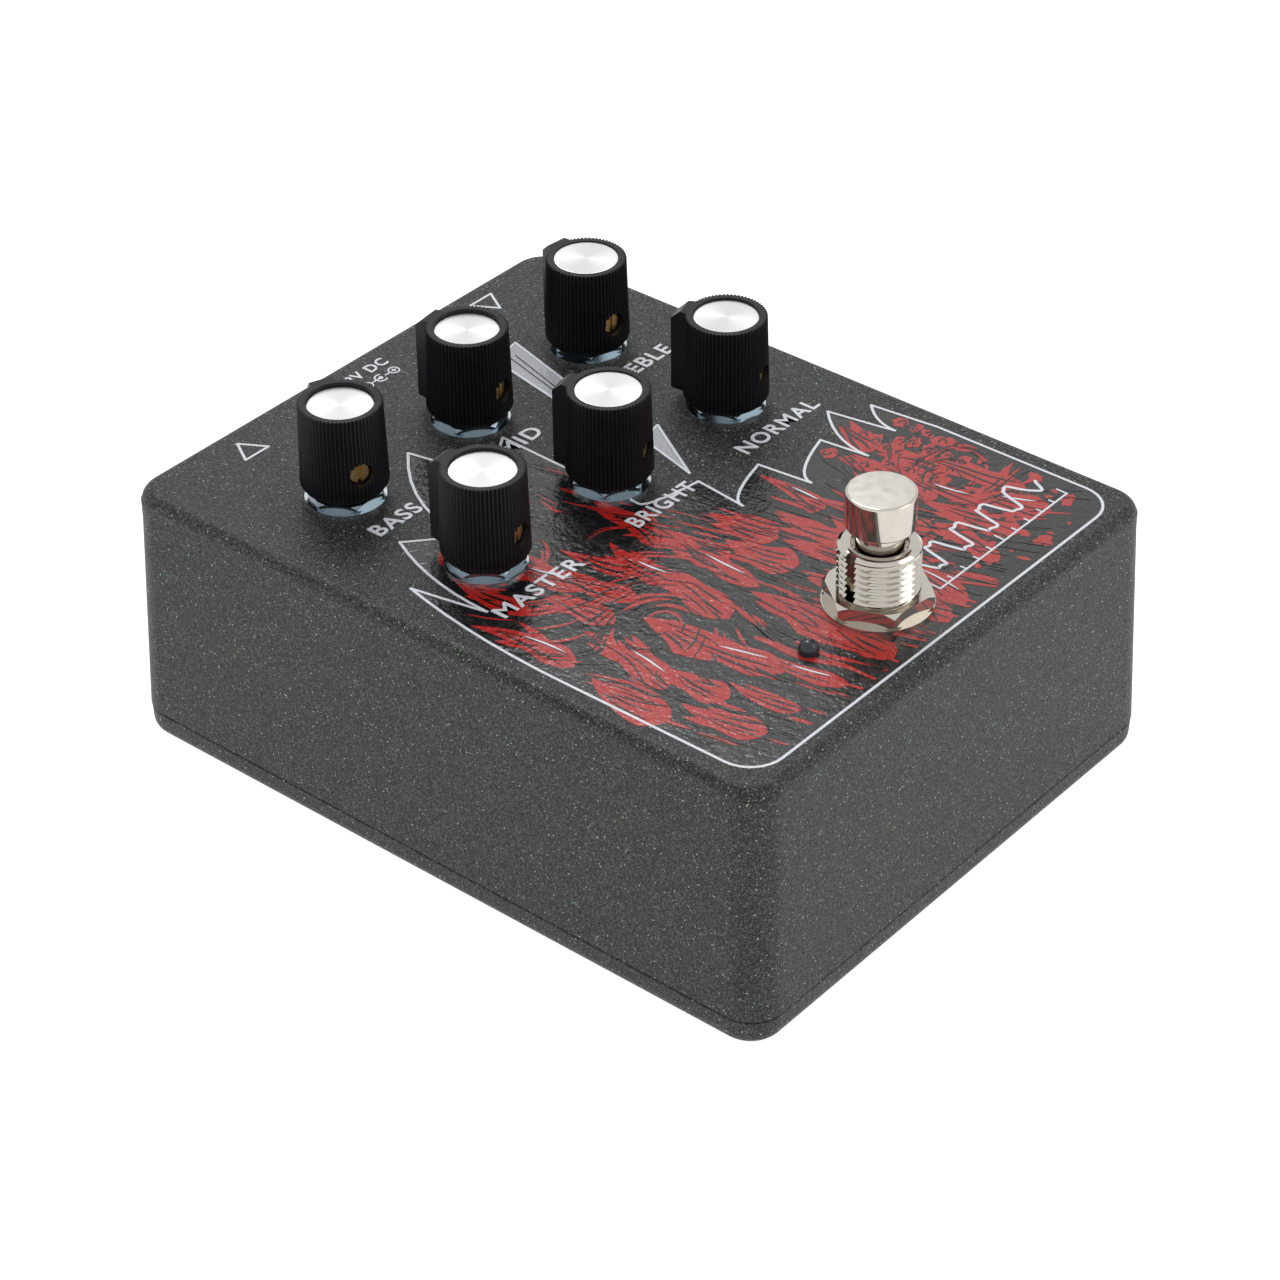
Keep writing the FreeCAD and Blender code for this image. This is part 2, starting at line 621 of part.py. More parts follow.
def jack_housing(x):
    """A closed plastic housing with a round room for the plug, the contacts lying in its roof."""
    back = SEAT_IN - JACK_LENGTH
    roof = SOCKET_Z + JACK_HALF_Z
    housing = block(x - JACK_HALF_X, x + JACK_HALF_X, back, SEAT_IN, SOCKET_Z - JACK_HALF_Z, roof)
    housing = housing.makeFillet(JACK_CORNER_R, [e for e in housing.Edges if e.BoundBox.YLength > 1])
    housing = housing.cut(cylinder(x, back + JACK_BACK, SOCKET_Z, JACK_CAVITY_R, JACK_LENGTH, Y_BACK))
    seat_y = SEAT_IN - JACK_BUSHING_SINK
    housing = housing.cut(cylinder(x, seat_y, SOCKET_Z, JACK_BUSHING_R, JACK_LENGTH, Y_BACK))
    slot = CONTACT_HALF + CONTACT_GAP
    for y in JACK_PIN_YS:
        housing = housing.cut(column(x, y, slot, slot, SOCKET_Z, roof))
    return housing


def jack_contact(x, y):
    """A contact that lies in the housing's roof slot, with its pin up through the board."""
    z = SOCKET_Z + JACK_CAVITY_R - CONTACT_GAP
    leaf = column(x, y, CONTACT_HALF, CONTACT_HALF, z, z + CONTACT_T)
    return leaf.fuse(cylinder(x, y, z, PIN_R, BOARD_TOP + PIN_TAIL - z))


def jack_nut(x):
    y = SEAT_OUT + JACK_WASHER_T
    return hex_nut(x, y, SOCKET_Z, JACK_NUT_AF, JACK_BUSHING_R + THREAD_GAP, JACK_NUT_H, Y_BACK)


def jack_washer(x):
    return ring(x, SEAT_OUT, SOCKET_Z, JACK_WASHER_R, JACK_BUSHING_R + HOLE_GAP, JACK_WASHER_T, Y_BACK)


def dc_jack_housing():
    """The DC socket's body and threaded nose, with the round hole for the plug's barrel."""
    back = SEAT_IN - DC_LENGTH
    housing = block(-DC_HALF_X, DC_HALF_X, back, SEAT_IN, SOCKET_Z - DC_HALF_Z, SOCKET_Z + DC_HALF_Z)
    nose_y = SEAT_IN - SINK
    housing = housing.fuse(cylinder(0, nose_y, SOCKET_Z, DC_NOSE_R, DC_NOSE_END - nose_y, Y_BACK))
    floor_y = DC_NOSE_END - DC_HOLE_DEPTH
    housing = housing.cut(cylinder(0, floor_y, SOCKET_Z, DC_HOLE_R, DC_HOLE_DEPTH + OVERRUN, Y_BACK))
    housing = housing.cut(cylinder(0, back - OVERRUN, SOCKET_Z, DC_PIN_ROOT_R, DC_LENGTH, Y_BACK))
    for x, y in dc_pin_places():
        housing = housing.cut(cylinder(x, y, SOCKET_Z, PIN_HOLE_R, DC_HALF_Z + OVERRUN))
    return housing


def dc_centre_pin():
    """The pin in the middle of the hole, with a thinner root held in the housing."""
    back = SEAT_IN - DC_LENGTH
    floor_y = DC_NOSE_END - DC_HOLE_DEPTH
    root = cylinder(0, back, SOCKET_Z, DC_PIN_ROOT_R, floor_y - back, Y_BACK)
    return root.fuse(cylinder(0, floor_y, SOCKET_Z, DC_PIN_R, DC_HOLE_DEPTH - DC_PIN_SHORT, Y_BACK))


def dc_contact(x, y):
    low = SOCKET_Z + DC_PIN_ROOT_R
    return cylinder(x, y, low, PIN_R, BOARD_TOP + PIN_TAIL - low)


def dc_jack_nut():
    """A round plastic nut with gripping notches around its rim."""
    nut = ring(0, SEAT_OUT, SOCKET_Z, DC_NUT_R, DC_NOSE_R + THREAD_GAP, DC_NUT_H, Y_BACK)
    for i in range(DC_NUT_NOTCHES):
        angle = 2 * math.pi * i / DC_NUT_NOTCHES
        x = DC_NUT_R * math.cos(angle)
        z = SOCKET_Z + DC_NUT_R * math.sin(angle)
        nut = nut.cut(cylinder(x, SEAT_OUT - OVERRUN, z, DC_NUT_NOTCH_R, DC_NUT_H + 2 * OVERRUN, Y_BACK))
    return nut


# Boards and what they carry

def drilled(board, places, low_z):
    for x, y in places:
        board = board.cut(cylinder(x, y, low_z - OVERRUN, PIN_HOLE_R, BOARD_T + 2 * OVERRUN))
    return board


def circuit_board():
    board = block(-BOARD_HALF_X, BOARD_HALF_X, BOARD_FRONT, BOARD_REAR, BOARD_UNDER, BOARD_TOP)
    board = board.makeFillet(BOARD_CORNER_R, standing_edges(board))
    places = pot_pin_places() + jack_pin_places() + dc_pin_places() + header_pin_places()
    return drilled(board, places, BOARD_UNDER)


def switch_board():
    low = SMALL_BOARD_TOP - BOARD_T
    board = block(*SMALL_BOARD_X, *SMALL_BOARD_Y, low, SMALL_BOARD_TOP)
    board = board.makeFillet(BOARD_CORNER_R / 2, standing_edges(board))
    board = drilled(board, lead_places() + header_pin_places(), low)
    for x, y in lug_places():
        slot = column(x, y, LUG_HALF + LUG_GAP, LUG_T / 2 + LUG_GAP, low - OVERRUN, SMALL_BOARD_TOP + OVERRUN)
        board = board.cut(slot)
    return board


def header_strip():
    """A pin header that carries the switch board from the main board."""
    half = HEADER_WAYS * HEADER_PITCH / 2
    strip = column(0, HEADER_Y, half, HEADER_HALF, SMALL_BOARD_TOP, BOARD_UNDER)
    low = SMALL_BOARD_TOP - BOARD_T - PIN_TAIL
    for x, y in header_pin_places():
        strip = strip.fuse(cylinder(x, y, low, PIN_R, BOARD_TOP + PIN_TAIL - low))
    return strip


def dip_chip(x, y):
    """An eight-legged chip hanging under the board, with a notch at one end."""
    half_x, half_y = CHIP_HALF
    top = BOARD_UNDER - CHIP_GAP
    chip = column(x, y, half_x, half_y, top - CHIP_H, top)
    chip = chip.cut(cylinder(x - half_x, y, top - CHIP_H, CHIP_NOTCH_R, CHIP_NOTCH_DEPTH))
    shoulder = top - LEG_DROP
    for i in range(CHIP_LEGS):
        leg_x = x + (i - (CHIP_LEGS - 1) / 2) * HEADER_PITCH
        for side in (-1, 1):
            leg_y = y + side * (half_y + LEG_REACH / 2)
            foot_y = y + side * (half_y + LEG_REACH - LEG_T / 2)
            chip = chip.fuse(column(leg_x, leg_y, LEG_HALF, LEG_REACH / 2, shoulder - LEG_T, shoulder))
            chip = chip.fuse(column(leg_x, foot_y, LEG_HALF, LEG_T / 2, shoulder - LEG_T, BOARD_UNDER))
    return chip


def can_capacitor(x, y):
    can = cylinder(x, y, BOARD_UNDER - CAN_H, CAN_R, CAN_H)
    return can.makeFillet(CAN_EDGE_R, edges_at(can, BOARD_UNDER - CAN_H))


def film_capacitor(x, y):
    box = column(x, y, *FILM_HALF, BOARD_UNDER - FILM_H, BOARD_UNDER)
    return box.makeFillet(FILM_EDGE_R, edges_at(box, BOARD_UNDER - FILM_H))


def resistor(x, y):
    """A resistor lying along X on its two bent legs."""
    z = BOARD_UNDER - RESISTOR_DROP
    along = vec(1, 0, 0)
    body = cylinder(x - RESISTOR_HALF, y, z, RESISTOR_R, 2 * RESISTOR_HALF, along)
    body = body.fuse(cylinder(x - WIRE_REACH, y, z, WIRE_R, 2 * WIRE_REACH, along))
    for side in (-1, 1):
        leg = cylinder(x + side * WIRE_REACH, y, z - WIRE_BEND, WIRE_LEG_R, RESISTOR_DROP + WIRE_BEND)
        body = body.fuse(leg)
    return body


# Every node's name with its solid, or its list of solids

def at_each(places, function):
    return [function(x, y) for x, y in places]


def casing_parts():
    return {
        "enclosure_body": enclosure_body(),
        "bottom_cover": bottom_cover(),
        "cover_screws": at_each(post_places(), cover_screw),
    }


def pot_parts():
    places = control_places()
    return {
        "pot_bushings": at_each(places, pot_bushing),
        "pot_cases": at_each(places, pot_case),
        "pot_wafers": at_each(places, pot_wafer),
        "pot_nuts": pot_nuts(),
        "pot_washers": at_each(places, pot_washer),
        "pot_terminals": at_each(pot_pin_places(), pot_terminal),
    }


def control_parts():
    """Each control's knob, inlay, set screw and shaft, turned to where the control was left."""
    placed = {}
    for name, place, row, turn, lift, recess in CONTROLS:
        pieces = {
            "knob": knob(lift, recess),
            "knob_inlay": knob_inlay(lift, recess),
            "knob_screw": knob_screw(lift),
            "pot_shaft": pot_shaft(),
        }
        for piece, shape in pieces.items():
            placed[piece + "_" + name] = place_control(shape, place * COLUMN_PITCH, row, turn)
    return placed


def switch_parts():
    return {
        "switch_bushing": switch_bushing(),
        "switch_button": switch_button(),
        "switch_housing": switch_housing(),
        "switch_spring": switch_spring(),
        "switch_terminals": at_each(lug_places(), switch_lug),
        "switch_nut": switch_nut(),
        "switch_inner_nut": switch_inner_nut(),
        "switch_washer": switch_washer(),
        "led_lens": led_lens(),
        "led_leads": at_each(lead_places(), led_lead),
    }


def socket_parts():
    sides = {"output": -COLUMN_PITCH, "input": COLUMN_PITCH}
    parts = {
        "socket_contacts": at_each(jack_pin_places(), jack_contact) + at_each(dc_pin_places(), dc_contact),
        "jack_nuts": [jack_nut(x) for x in sides.values()],
        "jack_washers": [jack_washer(x) for x in sides.values()],
        "dc_jack_housing": dc_jack_housing(),
        "dc_centre_pin": dc_centre_pin(),
        "dc_jack_nut": dc_jack_nut(),
    }
    for side, x in sides.items():
        parts[side + "_jack_housing"] = jack_housing(x)
        parts[side + "_jack_bushing"] = jack_bushing(x)
    return parts


def board_parts():
    return {
        "circuit_board": circuit_board(),
        "switch_board": switch_board(),
        "header_strip": header_strip(),
        "integrated_circuits": at_each(CHIP_PLACES, dip_chip),
        "electrolytic_capacitors": at_each(CAN_PLACES, can_capacitor),
        "film_capacitors": at_each(FILM_PLACES, film_capacitor),
        "resistors": at_each(RESISTOR_PLACES, resistor),
    }


os.makedirs("parts", exist_ok=True)
groups = (casing_parts, pot_parts, control_parts, switch_parts, socket_parts, board_parts)
for group in groups:
    for node, shape in group().items():
        if isinstance(shape, list):
            shape = Part.makeCompound(shape)
        shape.exportStep("parts/" + node + ".step")
        print(node, len(shape.Solids), shape.isValid(), round(shape.Volume, 2))
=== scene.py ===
import json
import math
import random

import bmesh
import bpy
from mathutils import Matrix, Vector
from mathutils.geometry import tessellate_polygon


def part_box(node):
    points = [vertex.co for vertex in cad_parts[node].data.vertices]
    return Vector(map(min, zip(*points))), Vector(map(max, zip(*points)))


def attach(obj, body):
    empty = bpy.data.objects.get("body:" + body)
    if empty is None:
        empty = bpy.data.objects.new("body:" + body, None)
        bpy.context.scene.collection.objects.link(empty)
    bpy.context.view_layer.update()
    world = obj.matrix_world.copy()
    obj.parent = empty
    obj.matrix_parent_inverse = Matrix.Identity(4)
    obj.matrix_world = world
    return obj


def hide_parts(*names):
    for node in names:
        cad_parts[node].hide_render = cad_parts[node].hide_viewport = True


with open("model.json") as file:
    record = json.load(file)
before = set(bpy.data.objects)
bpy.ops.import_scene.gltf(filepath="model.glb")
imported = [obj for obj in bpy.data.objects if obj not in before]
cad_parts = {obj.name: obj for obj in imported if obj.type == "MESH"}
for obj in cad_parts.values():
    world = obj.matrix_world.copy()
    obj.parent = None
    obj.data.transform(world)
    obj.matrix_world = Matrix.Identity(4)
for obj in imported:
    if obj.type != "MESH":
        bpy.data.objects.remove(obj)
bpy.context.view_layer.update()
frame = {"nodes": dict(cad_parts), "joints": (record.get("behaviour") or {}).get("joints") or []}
NODES = frame["nodes"]
MM = 0.001


# ---------------------------------------------------------------- sizes, all worked out from the frame

CONTROLS = ("bass", "mid", "treble", "master", "bright", "normal")
PANEL_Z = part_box("pot_washers")[0].z            # the top panel's outer face
JOINT = {joint["name"]: joint for joint in frame["joints"]}


def control_axis(name):
    """Where a control's axis meets the panel."""
    x, y, z = JOINT[name + "_turn"]["pos_m"]
    return Vector((x, y, PANEL_Z))


def control_turn(name):
    """How far the control is turned from noon at rest, in radians: its travel is centred on noon."""
    low, high = JOINT[name + "_turn"]["range_deg"]
    return -math.radians(low + high) / 2


def centre(node):
    low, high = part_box(node)
    return (low + high) / 2


# ---------------------------------------------------------------- camera, light and floor

VIEW_AZIMUTH = math.radians(-49.89)     # 0 looks along +Y
VIEW_ELEVATION = math.radians(35.57)
VIEW_ROLL = math.radians(-0.62)
VIEW_DISTANCE = 0.5567
VIEW_TARGET = Vector((0.00216, 0.00151, 0.015))
VIEW_LENS = 104.58
SENSOR = 36                             # the lens's and this are in mm
ROOM_BRIGHT, ROOM_BEHIND_CAMERA = 0.93, 0.9
CAMERA_CONE = 0.55                      # cosine at which the room starts to darken towards the camera
FLOOR_SIZE = 6
FLOOR_DROP = 0.0001                     # keeps the floor off the cover's own face
FLOOR_GLOW = 0.92


def camera():
    """The camera, from the direction that it looks back along."""
    a, e, r = VIEW_AZIMUTH, VIEW_ELEVATION, VIEW_ROLL
    back = Vector((math.sin(a) * math.cos(e), -math.cos(a) * math.cos(e), math.sin(e)))
    level = Vector((math.cos(a), math.sin(a), 0))
    above = back.cross(level)
    right = math.cos(r) * level + math.sin(r) * above
    up = -math.sin(r) * level + math.cos(r) * above
    data = bpy.data.cameras.new("camera")
    data.lens = VIEW_LENS
    data.sensor_width = SENSOR
    data.clip_start = 0.01
    data.clip_end = 20
    obj = bpy.data.objects.new("camera", data)
    matrix = Matrix((right, up, back)).transposed().to_4x4()
    matrix.translation = VIEW_TARGET + back * VIEW_DISTANCE
    obj.matrix_world = matrix
    bpy.context.scene.collection.objects.link(obj)
    bpy.context.scene.camera = obj


def area_light(name, place, aim, size, power):
    data = bpy.data.lights.new(name, "AREA")
    data.shape = "RECTANGLE"
    data.size, data.size_y = size
    data.energy = power
    obj = bpy.data.objects.new(name, data)
    obj.location = place
    obj.rotation_euler = (Vector(aim) - Vector(place)).to_track_quat("-Z", "Y").to_euler()
    bpy.context.scene.collection.objects.link(obj)


def studio():
    """A white studio: bright all round, a little darker behind the camera, with two soft boxes."""
    world = bpy.data.worlds.new("studio")
    bpy.context.scene.world = world
    world.use_nodes = True
    tree = world.node_tree
    background = tree.nodes["Background"]
    coordinate = tree.nodes.new("ShaderNodeTexCoord")
    towards = tree.nodes.new("ShaderNodeVectorMath")
    towards.operation = "DOT_PRODUCT"
    a = VIEW_AZIMUTH
    towards.inputs[1].default_value = (math.sin(a), -math.cos(a), 0.05)
    shade = tree.nodes.new("ShaderNodeMapRange")
    shade.interpolation_type = "SMOOTHSTEP"
    shade.inputs["From Min"].default_value = CAMERA_CONE
    shade.inputs["From Max"].default_value = 1.0
    shade.inputs["To Min"].default_value = ROOM_BRIGHT
    shade.inputs["To Max"].default_value = ROOM_BEHIND_CAMERA
    tree.links.new(coordinate.outputs["Generated"], towards.inputs[0])
    tree.links.new(towards.outputs["Value"], shade.inputs["Value"])
    tree.links.new(shade.outputs["Result"], background.inputs["Strength"])
    background.inputs["Color"].default_value = (1, 1, 1, 1)
    area_light("box_over", (0.25, 0.35, 0.75), (0, 0, 0.02), (0.3, 0.3), 2.0)
    area_light("box_right", (0.35, -0.55, 0.5), (0, 0, 0.02), (0.4, 0.5), 0.8)
    bpy.context.scene.view_settings.view_transform = "Standard"


def floor():
    """Pale paper that shows from above only, so that the underside can be looked at."""
    bpy.ops.mesh.primitive_plane_add(size=FLOOR_SIZE, location=(0, 0, -FLOOR_DROP))
    obj = bpy.context.object
    obj.name = "floor"
    paint = Paint("floor_paper", (0.3, 0.3, 0.3), roughness=0.9, Emission_Strength=FLOOR_GLOW)
    paint.set("Emission Color", (1, 1, 1, 1))
    paint.bump(paint.noise(120, detail=2), 0.05, 0.0002)
    behind = paint.tree.nodes.new("ShaderNodeNewGeometry").outputs["Backfacing"]
    paint.link(paint.math("SUBTRACT", 1.0, behind), "Alpha")
    obj.data.materials.append(paint.material)


# ---------------------------------------------------------------- material tools

class Paint:
    """A material with a Principled shader, and short calls for the nodes that these finishes share."""

    def __init__(self, name, colour, roughness=0.5, metallic=0.0, **sockets):
        self.material = bpy.data.materials.new(name)
        self.material.use_nodes = True
        self.tree = self.material.node_tree
        self.shader = self.tree.nodes["Principled BSDF"]
        self.set("Base Color", (*colour, 1))
        self.set("Roughness", roughness)
        self.set("Metallic", metallic)
        for socket, value in sockets.items():
            self.set(socket.replace("_", " "), value)
        self.place = self.tree.nodes.new("ShaderNodeTexCoord").outputs["Object"]

    def set(self, socket, value):
        self.shader.inputs[socket].default_value = value

    def link(self, output, socket):
        self.tree.links.new(output, self.shader.inputs[socket])

    def node(self, kind, **inputs):
        """A node with some of its inputs linked or set."""
        made = self.tree.nodes.new("ShaderNode" + kind)
        for key, value in inputs.items():
            self.feed(made.inputs[key.replace("_", " ")], value)
        return made

    def feed(self, socket, value):
        if isinstance(value, bpy.types.NodeSocket):
            self.tree.links.new(value, socket)
        else:
            socket.default_value = value

    def stretched(self, scale):
        """The object's place, scaled along each axis."""
        node = self.node("Mapping", Vector=self.place)
        node.inputs["Scale"].default_value = scale
        return node.outputs["Vector"]

    def noise(self, scale, detail=2.0, roughness=0.5, vector=None):
        where = vector or self.place
        node = self.node("TexNoise", Vector=where, Scale=scale, Detail=detail, Roughness=roughness)
        return node.outputs["Fac"]

    def cells(self, scale, vector):
        return self.node("TexVoronoi", Vector=vector, Scale=scale)

    def ramp(self, value, low, high, from_low=0.0, from_high=1.0):
        """value mapped from one range to another, held at the ends."""
        node = self.node("MapRange", Value=value)
        node.inputs["From Min"].default_value = from_low
        node.inputs["From Max"].default_value = from_high
        node.inputs["To Min"].default_value = low
        node.inputs["To Max"].default_value = high
        return node.outputs["Result"]

    def math(self, operation, a, b):
        node = self.tree.nodes.new("ShaderNodeMath")
        node.operation = operation
        self.feed(node.inputs[0], a)
        self.feed(node.inputs[1], b)
        return node.outputs["Value"]

    def mix(self, factor, a, b):
        """A blend of two colours, which may be sockets or triples."""
        node = self.tree.nodes.new("ShaderNodeMix")
        node.data_type = "RGBA"
        self.feed(node.inputs["Factor"], factor)
        for name, value in (("A", a), ("B", b)):
            socket = [s for s in node.inputs if s.name == name and s.type == "RGBA"][0]
            self.feed(socket, value if isinstance(value, bpy.types.NodeSocket) else (*value, 1))
        return [s for s in node.outputs if s.type == "RGBA"][0]

    def bump(self, height, strength, distance):
        node = self.node("Bump", Height=height, Strength=strength, Distance=distance)
        self.link(node.outputs["Normal"], "Normal")


# ---------------------------------------------------------------- finishes

def powder_coat(name, base=0.025):
    """Charcoal powder coat: grains of uneven brightness on a pebbled skin, and a few grains painted bright
    and coloured as glints of light.
    """
    paint = Paint(name, (base, base, base), roughness=0.5, Specular_IOR_Level=0.33)
    skew = paint.node("Mapping", Vector=paint.place)
    skew.inputs["Rotation"].default_value = (0.61, 0.37, 0.83)
    place = skew.outputs["Vector"]
    pebble = paint.noise(2500, detail=2, roughness=0.55, vector=place)
    grain = paint.cells(6000, vector=place)
    chance = paint.node("SeparateColor", Color=grain.outputs["Color"])
    bright = paint.math("MULTIPLY", paint.math("POWER", chance.outputs["Red"], 3.0),
                        paint.ramp(pebble, 0.5, 1.5, 0.35, 0.65))
    tone = paint.mix(bright, (base * 0.12,) * 3, (base * 4.0,) * 3)
    # a few grains get a bright coloured base colour: painted glints of light
    painted_glint_mask = paint.math("GREATER_THAN", chance.outputs["Green"], 0.994)
    painted_glint_colour = paint.node("HueSaturation", Color=grain.outputs["Color"], Saturation=0.4, Value=0.42)
    paint.link(paint.mix(painted_glint_mask, tone, painted_glint_colour.outputs["Color"]), "Base Color")
    paint.link(paint.ramp(pebble, 0.4, 0.6, 0.3, 0.7), "Roughness")
    paint.bump(pebble, 0.6, 0.00012)
    return paint.material


def print_ink(name, colour, gloss=0.22):
    """Glossy printed ink with a soft orange-peel skin."""
    paint = Paint(name, colour, roughness=gloss, IOR=1.62)
    peel = paint.noise(1500, detail=1.5)
    wave = paint.noise(500, detail=1)
    height = paint.math("ADD", peel, wave)
    paint.bump(height, 0.75, 0.00014)
    paint.link(paint.ramp(peel, gloss * 0.8, gloss * 1.4, 0.3, 0.7), "Roughness")
    tint = paint.noise(3000, detail=2)
    lighter = tuple(min(1.0, c * 1.12 + 0.002) for c in colour)
    paint.link(paint.mix(tint, tuple(c * 0.9 for c in colour), lighter), "Base Color")
    return paint.material


def plated(name, colour, roughness=0.12):
    """Plated metal with a faint cloud in its polish."""
    paint = Paint(name, colour, roughness=roughness, metallic=1.0)
    cloud = paint.noise(700, detail=3)
    paint.link(paint.ramp(cloud, roughness * 0.85, roughness * 1.2, 0.3, 0.7), "Roughness")
    dull = tuple(c * 0.95 for c in colour)
    paint.link(paint.mix(paint.ramp(cloud, 0, 1, 0.35, 0.65), dull, colour), "Base Color")
    return paint.material


def moulded(name, colour, roughness=0.45, grain=1800, depth=0.00003, shine=0.5):
    """Moulded plastic with a fine even grain."""
    paint = Paint(name, colour, roughness=roughness, Specular_IOR_Level=shine)
    grains = paint.noise(grain, detail=3)
    paint.bump(grains, 0.3, depth)
    paint.link(paint.ramp(grains, roughness * 0.85, roughness * 1.2, 0.3, 0.7), "Roughness")
    darker = tuple(c * 0.75 for c in colour)
    paint.link(paint.mix(paint.noise(300), darker, tuple(c * 1.2 for c in colour)), "Base Color")
    return paint.material


def spun_disc(name):
    """Aluminium turned on a lathe: fine rings about the piece's own Z axis."""
    paint = Paint(name, (0.73, 0.73, 0.735), roughness=0.34, metallic=1.0, Anisotropic=0.4)
    tangent = paint.tree.nodes.new("ShaderNodeTangent")
    tangent.direction_type = "RADIAL"
    tangent.axis = "Z"
    paint.link(tangent.outputs["Tangent"], "Tangent")
    flat = paint.node("VectorMath", Vector=paint.stretched((1, 1, 0)))
    flat.operation = "LENGTH"
    radius = paint.node("CombineXYZ", X=flat.outputs["Value"])
    rings = paint.noise(9000, detail=2, vector=radius.outputs["Vector"])
    paint.bump(rings, 0.12, 0.000003)
    paint.link(paint.ramp(rings, 0.3, 0.36, 0.3, 0.7), "Roughness")
    return paint.material


def clear_resin(name):
    paint = Paint(name, (0.03, 0.034, 0.05), roughness=0.02, Transmission_Weight=0.5, IOR=1.5)
    paint.bump(paint.noise(900), 0.05, 0.00001)
    return paint.material


def board_green(name):
    """Solder mask over copper tracks."""
    paint = Paint(name, (0.01, 0.13, 0.05), roughness=0.35)
    lanes = paint.cells(260, vector=paint.stretched((1, 0.35, 1)))
    edge = paint.math("LESS_THAN", lanes.outputs["Distance"], 0.3)
    paint.link(paint.mix(edge, (0.008, 0.09, 0.035), (0.015, 0.17, 0.07)), "Base Color")
    paint.bump(edge, 0.2, 0.00003)
    return paint.material


# ---------------------------------------------------------------- mesh tools

def new_object(name, mesh, material):
    """An object in the scene with one material, whatever its mesh carried before."""
    mesh.materials.clear()
    mesh.materials.append(material)
    obj = bpy.data.objects.new(name, mesh)
    bpy.context.scene.collection.objects.link(obj)
    return obj


def mesh_from(name, points, faces, smooth=True):
    mesh = bpy.data.meshes.new(name)
    mesh.from_pydata(points, [], faces)
    mesh.validate()
    shape = bmesh.new()
    shape.from_mesh(mesh)
    bmesh.ops.recalc_face_normals(shape, faces=shape.faces)
    shape.to_mesh(mesh)
    shape.free()
    for polygon in mesh.polygons:
        polygon.use_smooth = smooth
    return mesh


def sharpen(mesh, angle):
    """Keeps the edges that turn by more than the angle, in degrees, sharp and smooths the rest."""
    mesh.set_sharp_from_angle(angle=math.radians(angle))
    return mesh


def skin(rings, joined):
    """The points and faces of a skin over rings in mm, whose last ring may join the first."""
    count, total = len(rings[0]), len(rings)
    points = [Vector(p) * MM for ring in rings for p in ring]
    faces = []
    for i in range(total if joined else total - 1):
        n = (i + 1) % total
        for j in range(count):
            k = (j + 1) % count
            faces.append((i * count + j, i * count + k, n * count + k, n * count + j))
    return points, faces


def loft(name, rings):
    """A closed skin over rings of equally many points, with its two ends filled."""
    count = len(rings[0])
    points, faces = skin(rings, joined=False)
    for row in (0, len(rings) - 1):
        hub = len(points)
        points.append(sum((points[row * count + j] for j in range(count)), Vector()) / count)
        faces += [(row * count + j, row * count + (j + 1) % count, hub) for j in range(count)]
    return mesh_from(name, points, faces)


def tube_loft(name, rings):
    """A closed skin over rings whose last one meets the first, as on a tube with a wall."""
    return mesh_from(name, *skin(rings, joined=True))


def turned(name, profile, segments):
    """A solid of revolution about Z from (radius, height) pairs in mm, first and last near the axis."""
    angles = [2 * math.pi * j / segments for j in range(segments)]
    rings = [[(r * math.cos(t), r * math.sin(t), z) for t in angles] for r, z in profile]
    return loft(name, rings)


def with_hole(obj, cutter_mesh):
    """Cuts a mesh out of an object and keeps the result as the object's own mesh."""
    cutter = bpy.data.objects.new("cutter", cutter_mesh)
    bpy.context.scene.collection.objects.link(cutter)
    cut = obj.modifiers.new("cut", "BOOLEAN")
    cut.operation = "DIFFERENCE"
    cut.solver = "EXACT"
    cut.object = cutter
    view = bpy.context.evaluated_depsgraph_get()
    result = bpy.data.meshes.new_from_object(obj.evaluated_get(view))
    obj.modifiers.remove(cut)
    bpy.data.objects.remove(cutter)
    return result


def rounded(obj, width):
    """Breaks an object's sharp edges, by a width in mm."""
    bevel = obj.modifiers.new("edge", "BEVEL")
    bevel.width = width * MM
    bevel.segments = 2
    bevel.limit_method = "ANGLE"
    bevel.angle_limit = math.radians(35)
    bevel.harden_normals = True
    bevel.use_clamp_overlap = True


def even_shading(obj):
    """Lets the large faces set the shading, so that it turns only across the small ones."""
    normals = obj.modifiers.new("even", "WEIGHTED_NORMAL")
    normals.keep_sharp = True
    normals.weight = 80


def paint_node(node, material):
    data = NODES[node].data
    data.materials.clear()
    data.materials.append(material)


# ---------------------------------------------------------------- knobs

KNOB_H = (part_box("knob_bass")[1].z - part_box("knob_bass")[0].z) / MM
KNOB_BASE_R = 6.55
KNOB_TOP_R = 6.15
FLUTES = 66
FLUTE_DEPTH = 0.34
FLUTE_STEPS = 8
POINTER_ROOT = 5.2
POINTER_ROOT_HALF = 2.1
POINTER_TIP_HALF = 1.3
POINTER_TOP_REACH = 6.7
POINTER_REACH = 8.35
POINTER_SLOPE = 1.55
POINTER_FOOT = 0.4
POINTER_TAPER = (POINTER_ROOT_HALF - POINTER_TIP_HALF) / (POINTER_REACH - POINTER_ROOT)
POINTER_SPREAD = POINTER_ROOT_HALF + POINTER_TAPER * POINTER_ROOT     # half width, carried back to the axis
POINTER_STEPS = 4       # angles across half of the pointer's end, and along each of its walls
KNOB_BORE_R = 3.03
KNOB_BORE_TOP = 10.5
POCKET_R = 4.6          # room under the knob for the pot's nut
POCKET_TOP = 3.15
RECESS_R = 4.95
RIM = 0.08              # radius of the moulding's edges at its top
SIDE_FOOT = 1.0         # the plain side runs from here up to the pointer's slope
SIDE_STEPS = 5
SCREW_Z = 4.75
SCREW_HOLE_R = 1.55
SCREW_MOUTH_R = 1.87
SCREW_MOUTH_FROM = 4.7  # distance of the wider mouth from the knob's axis


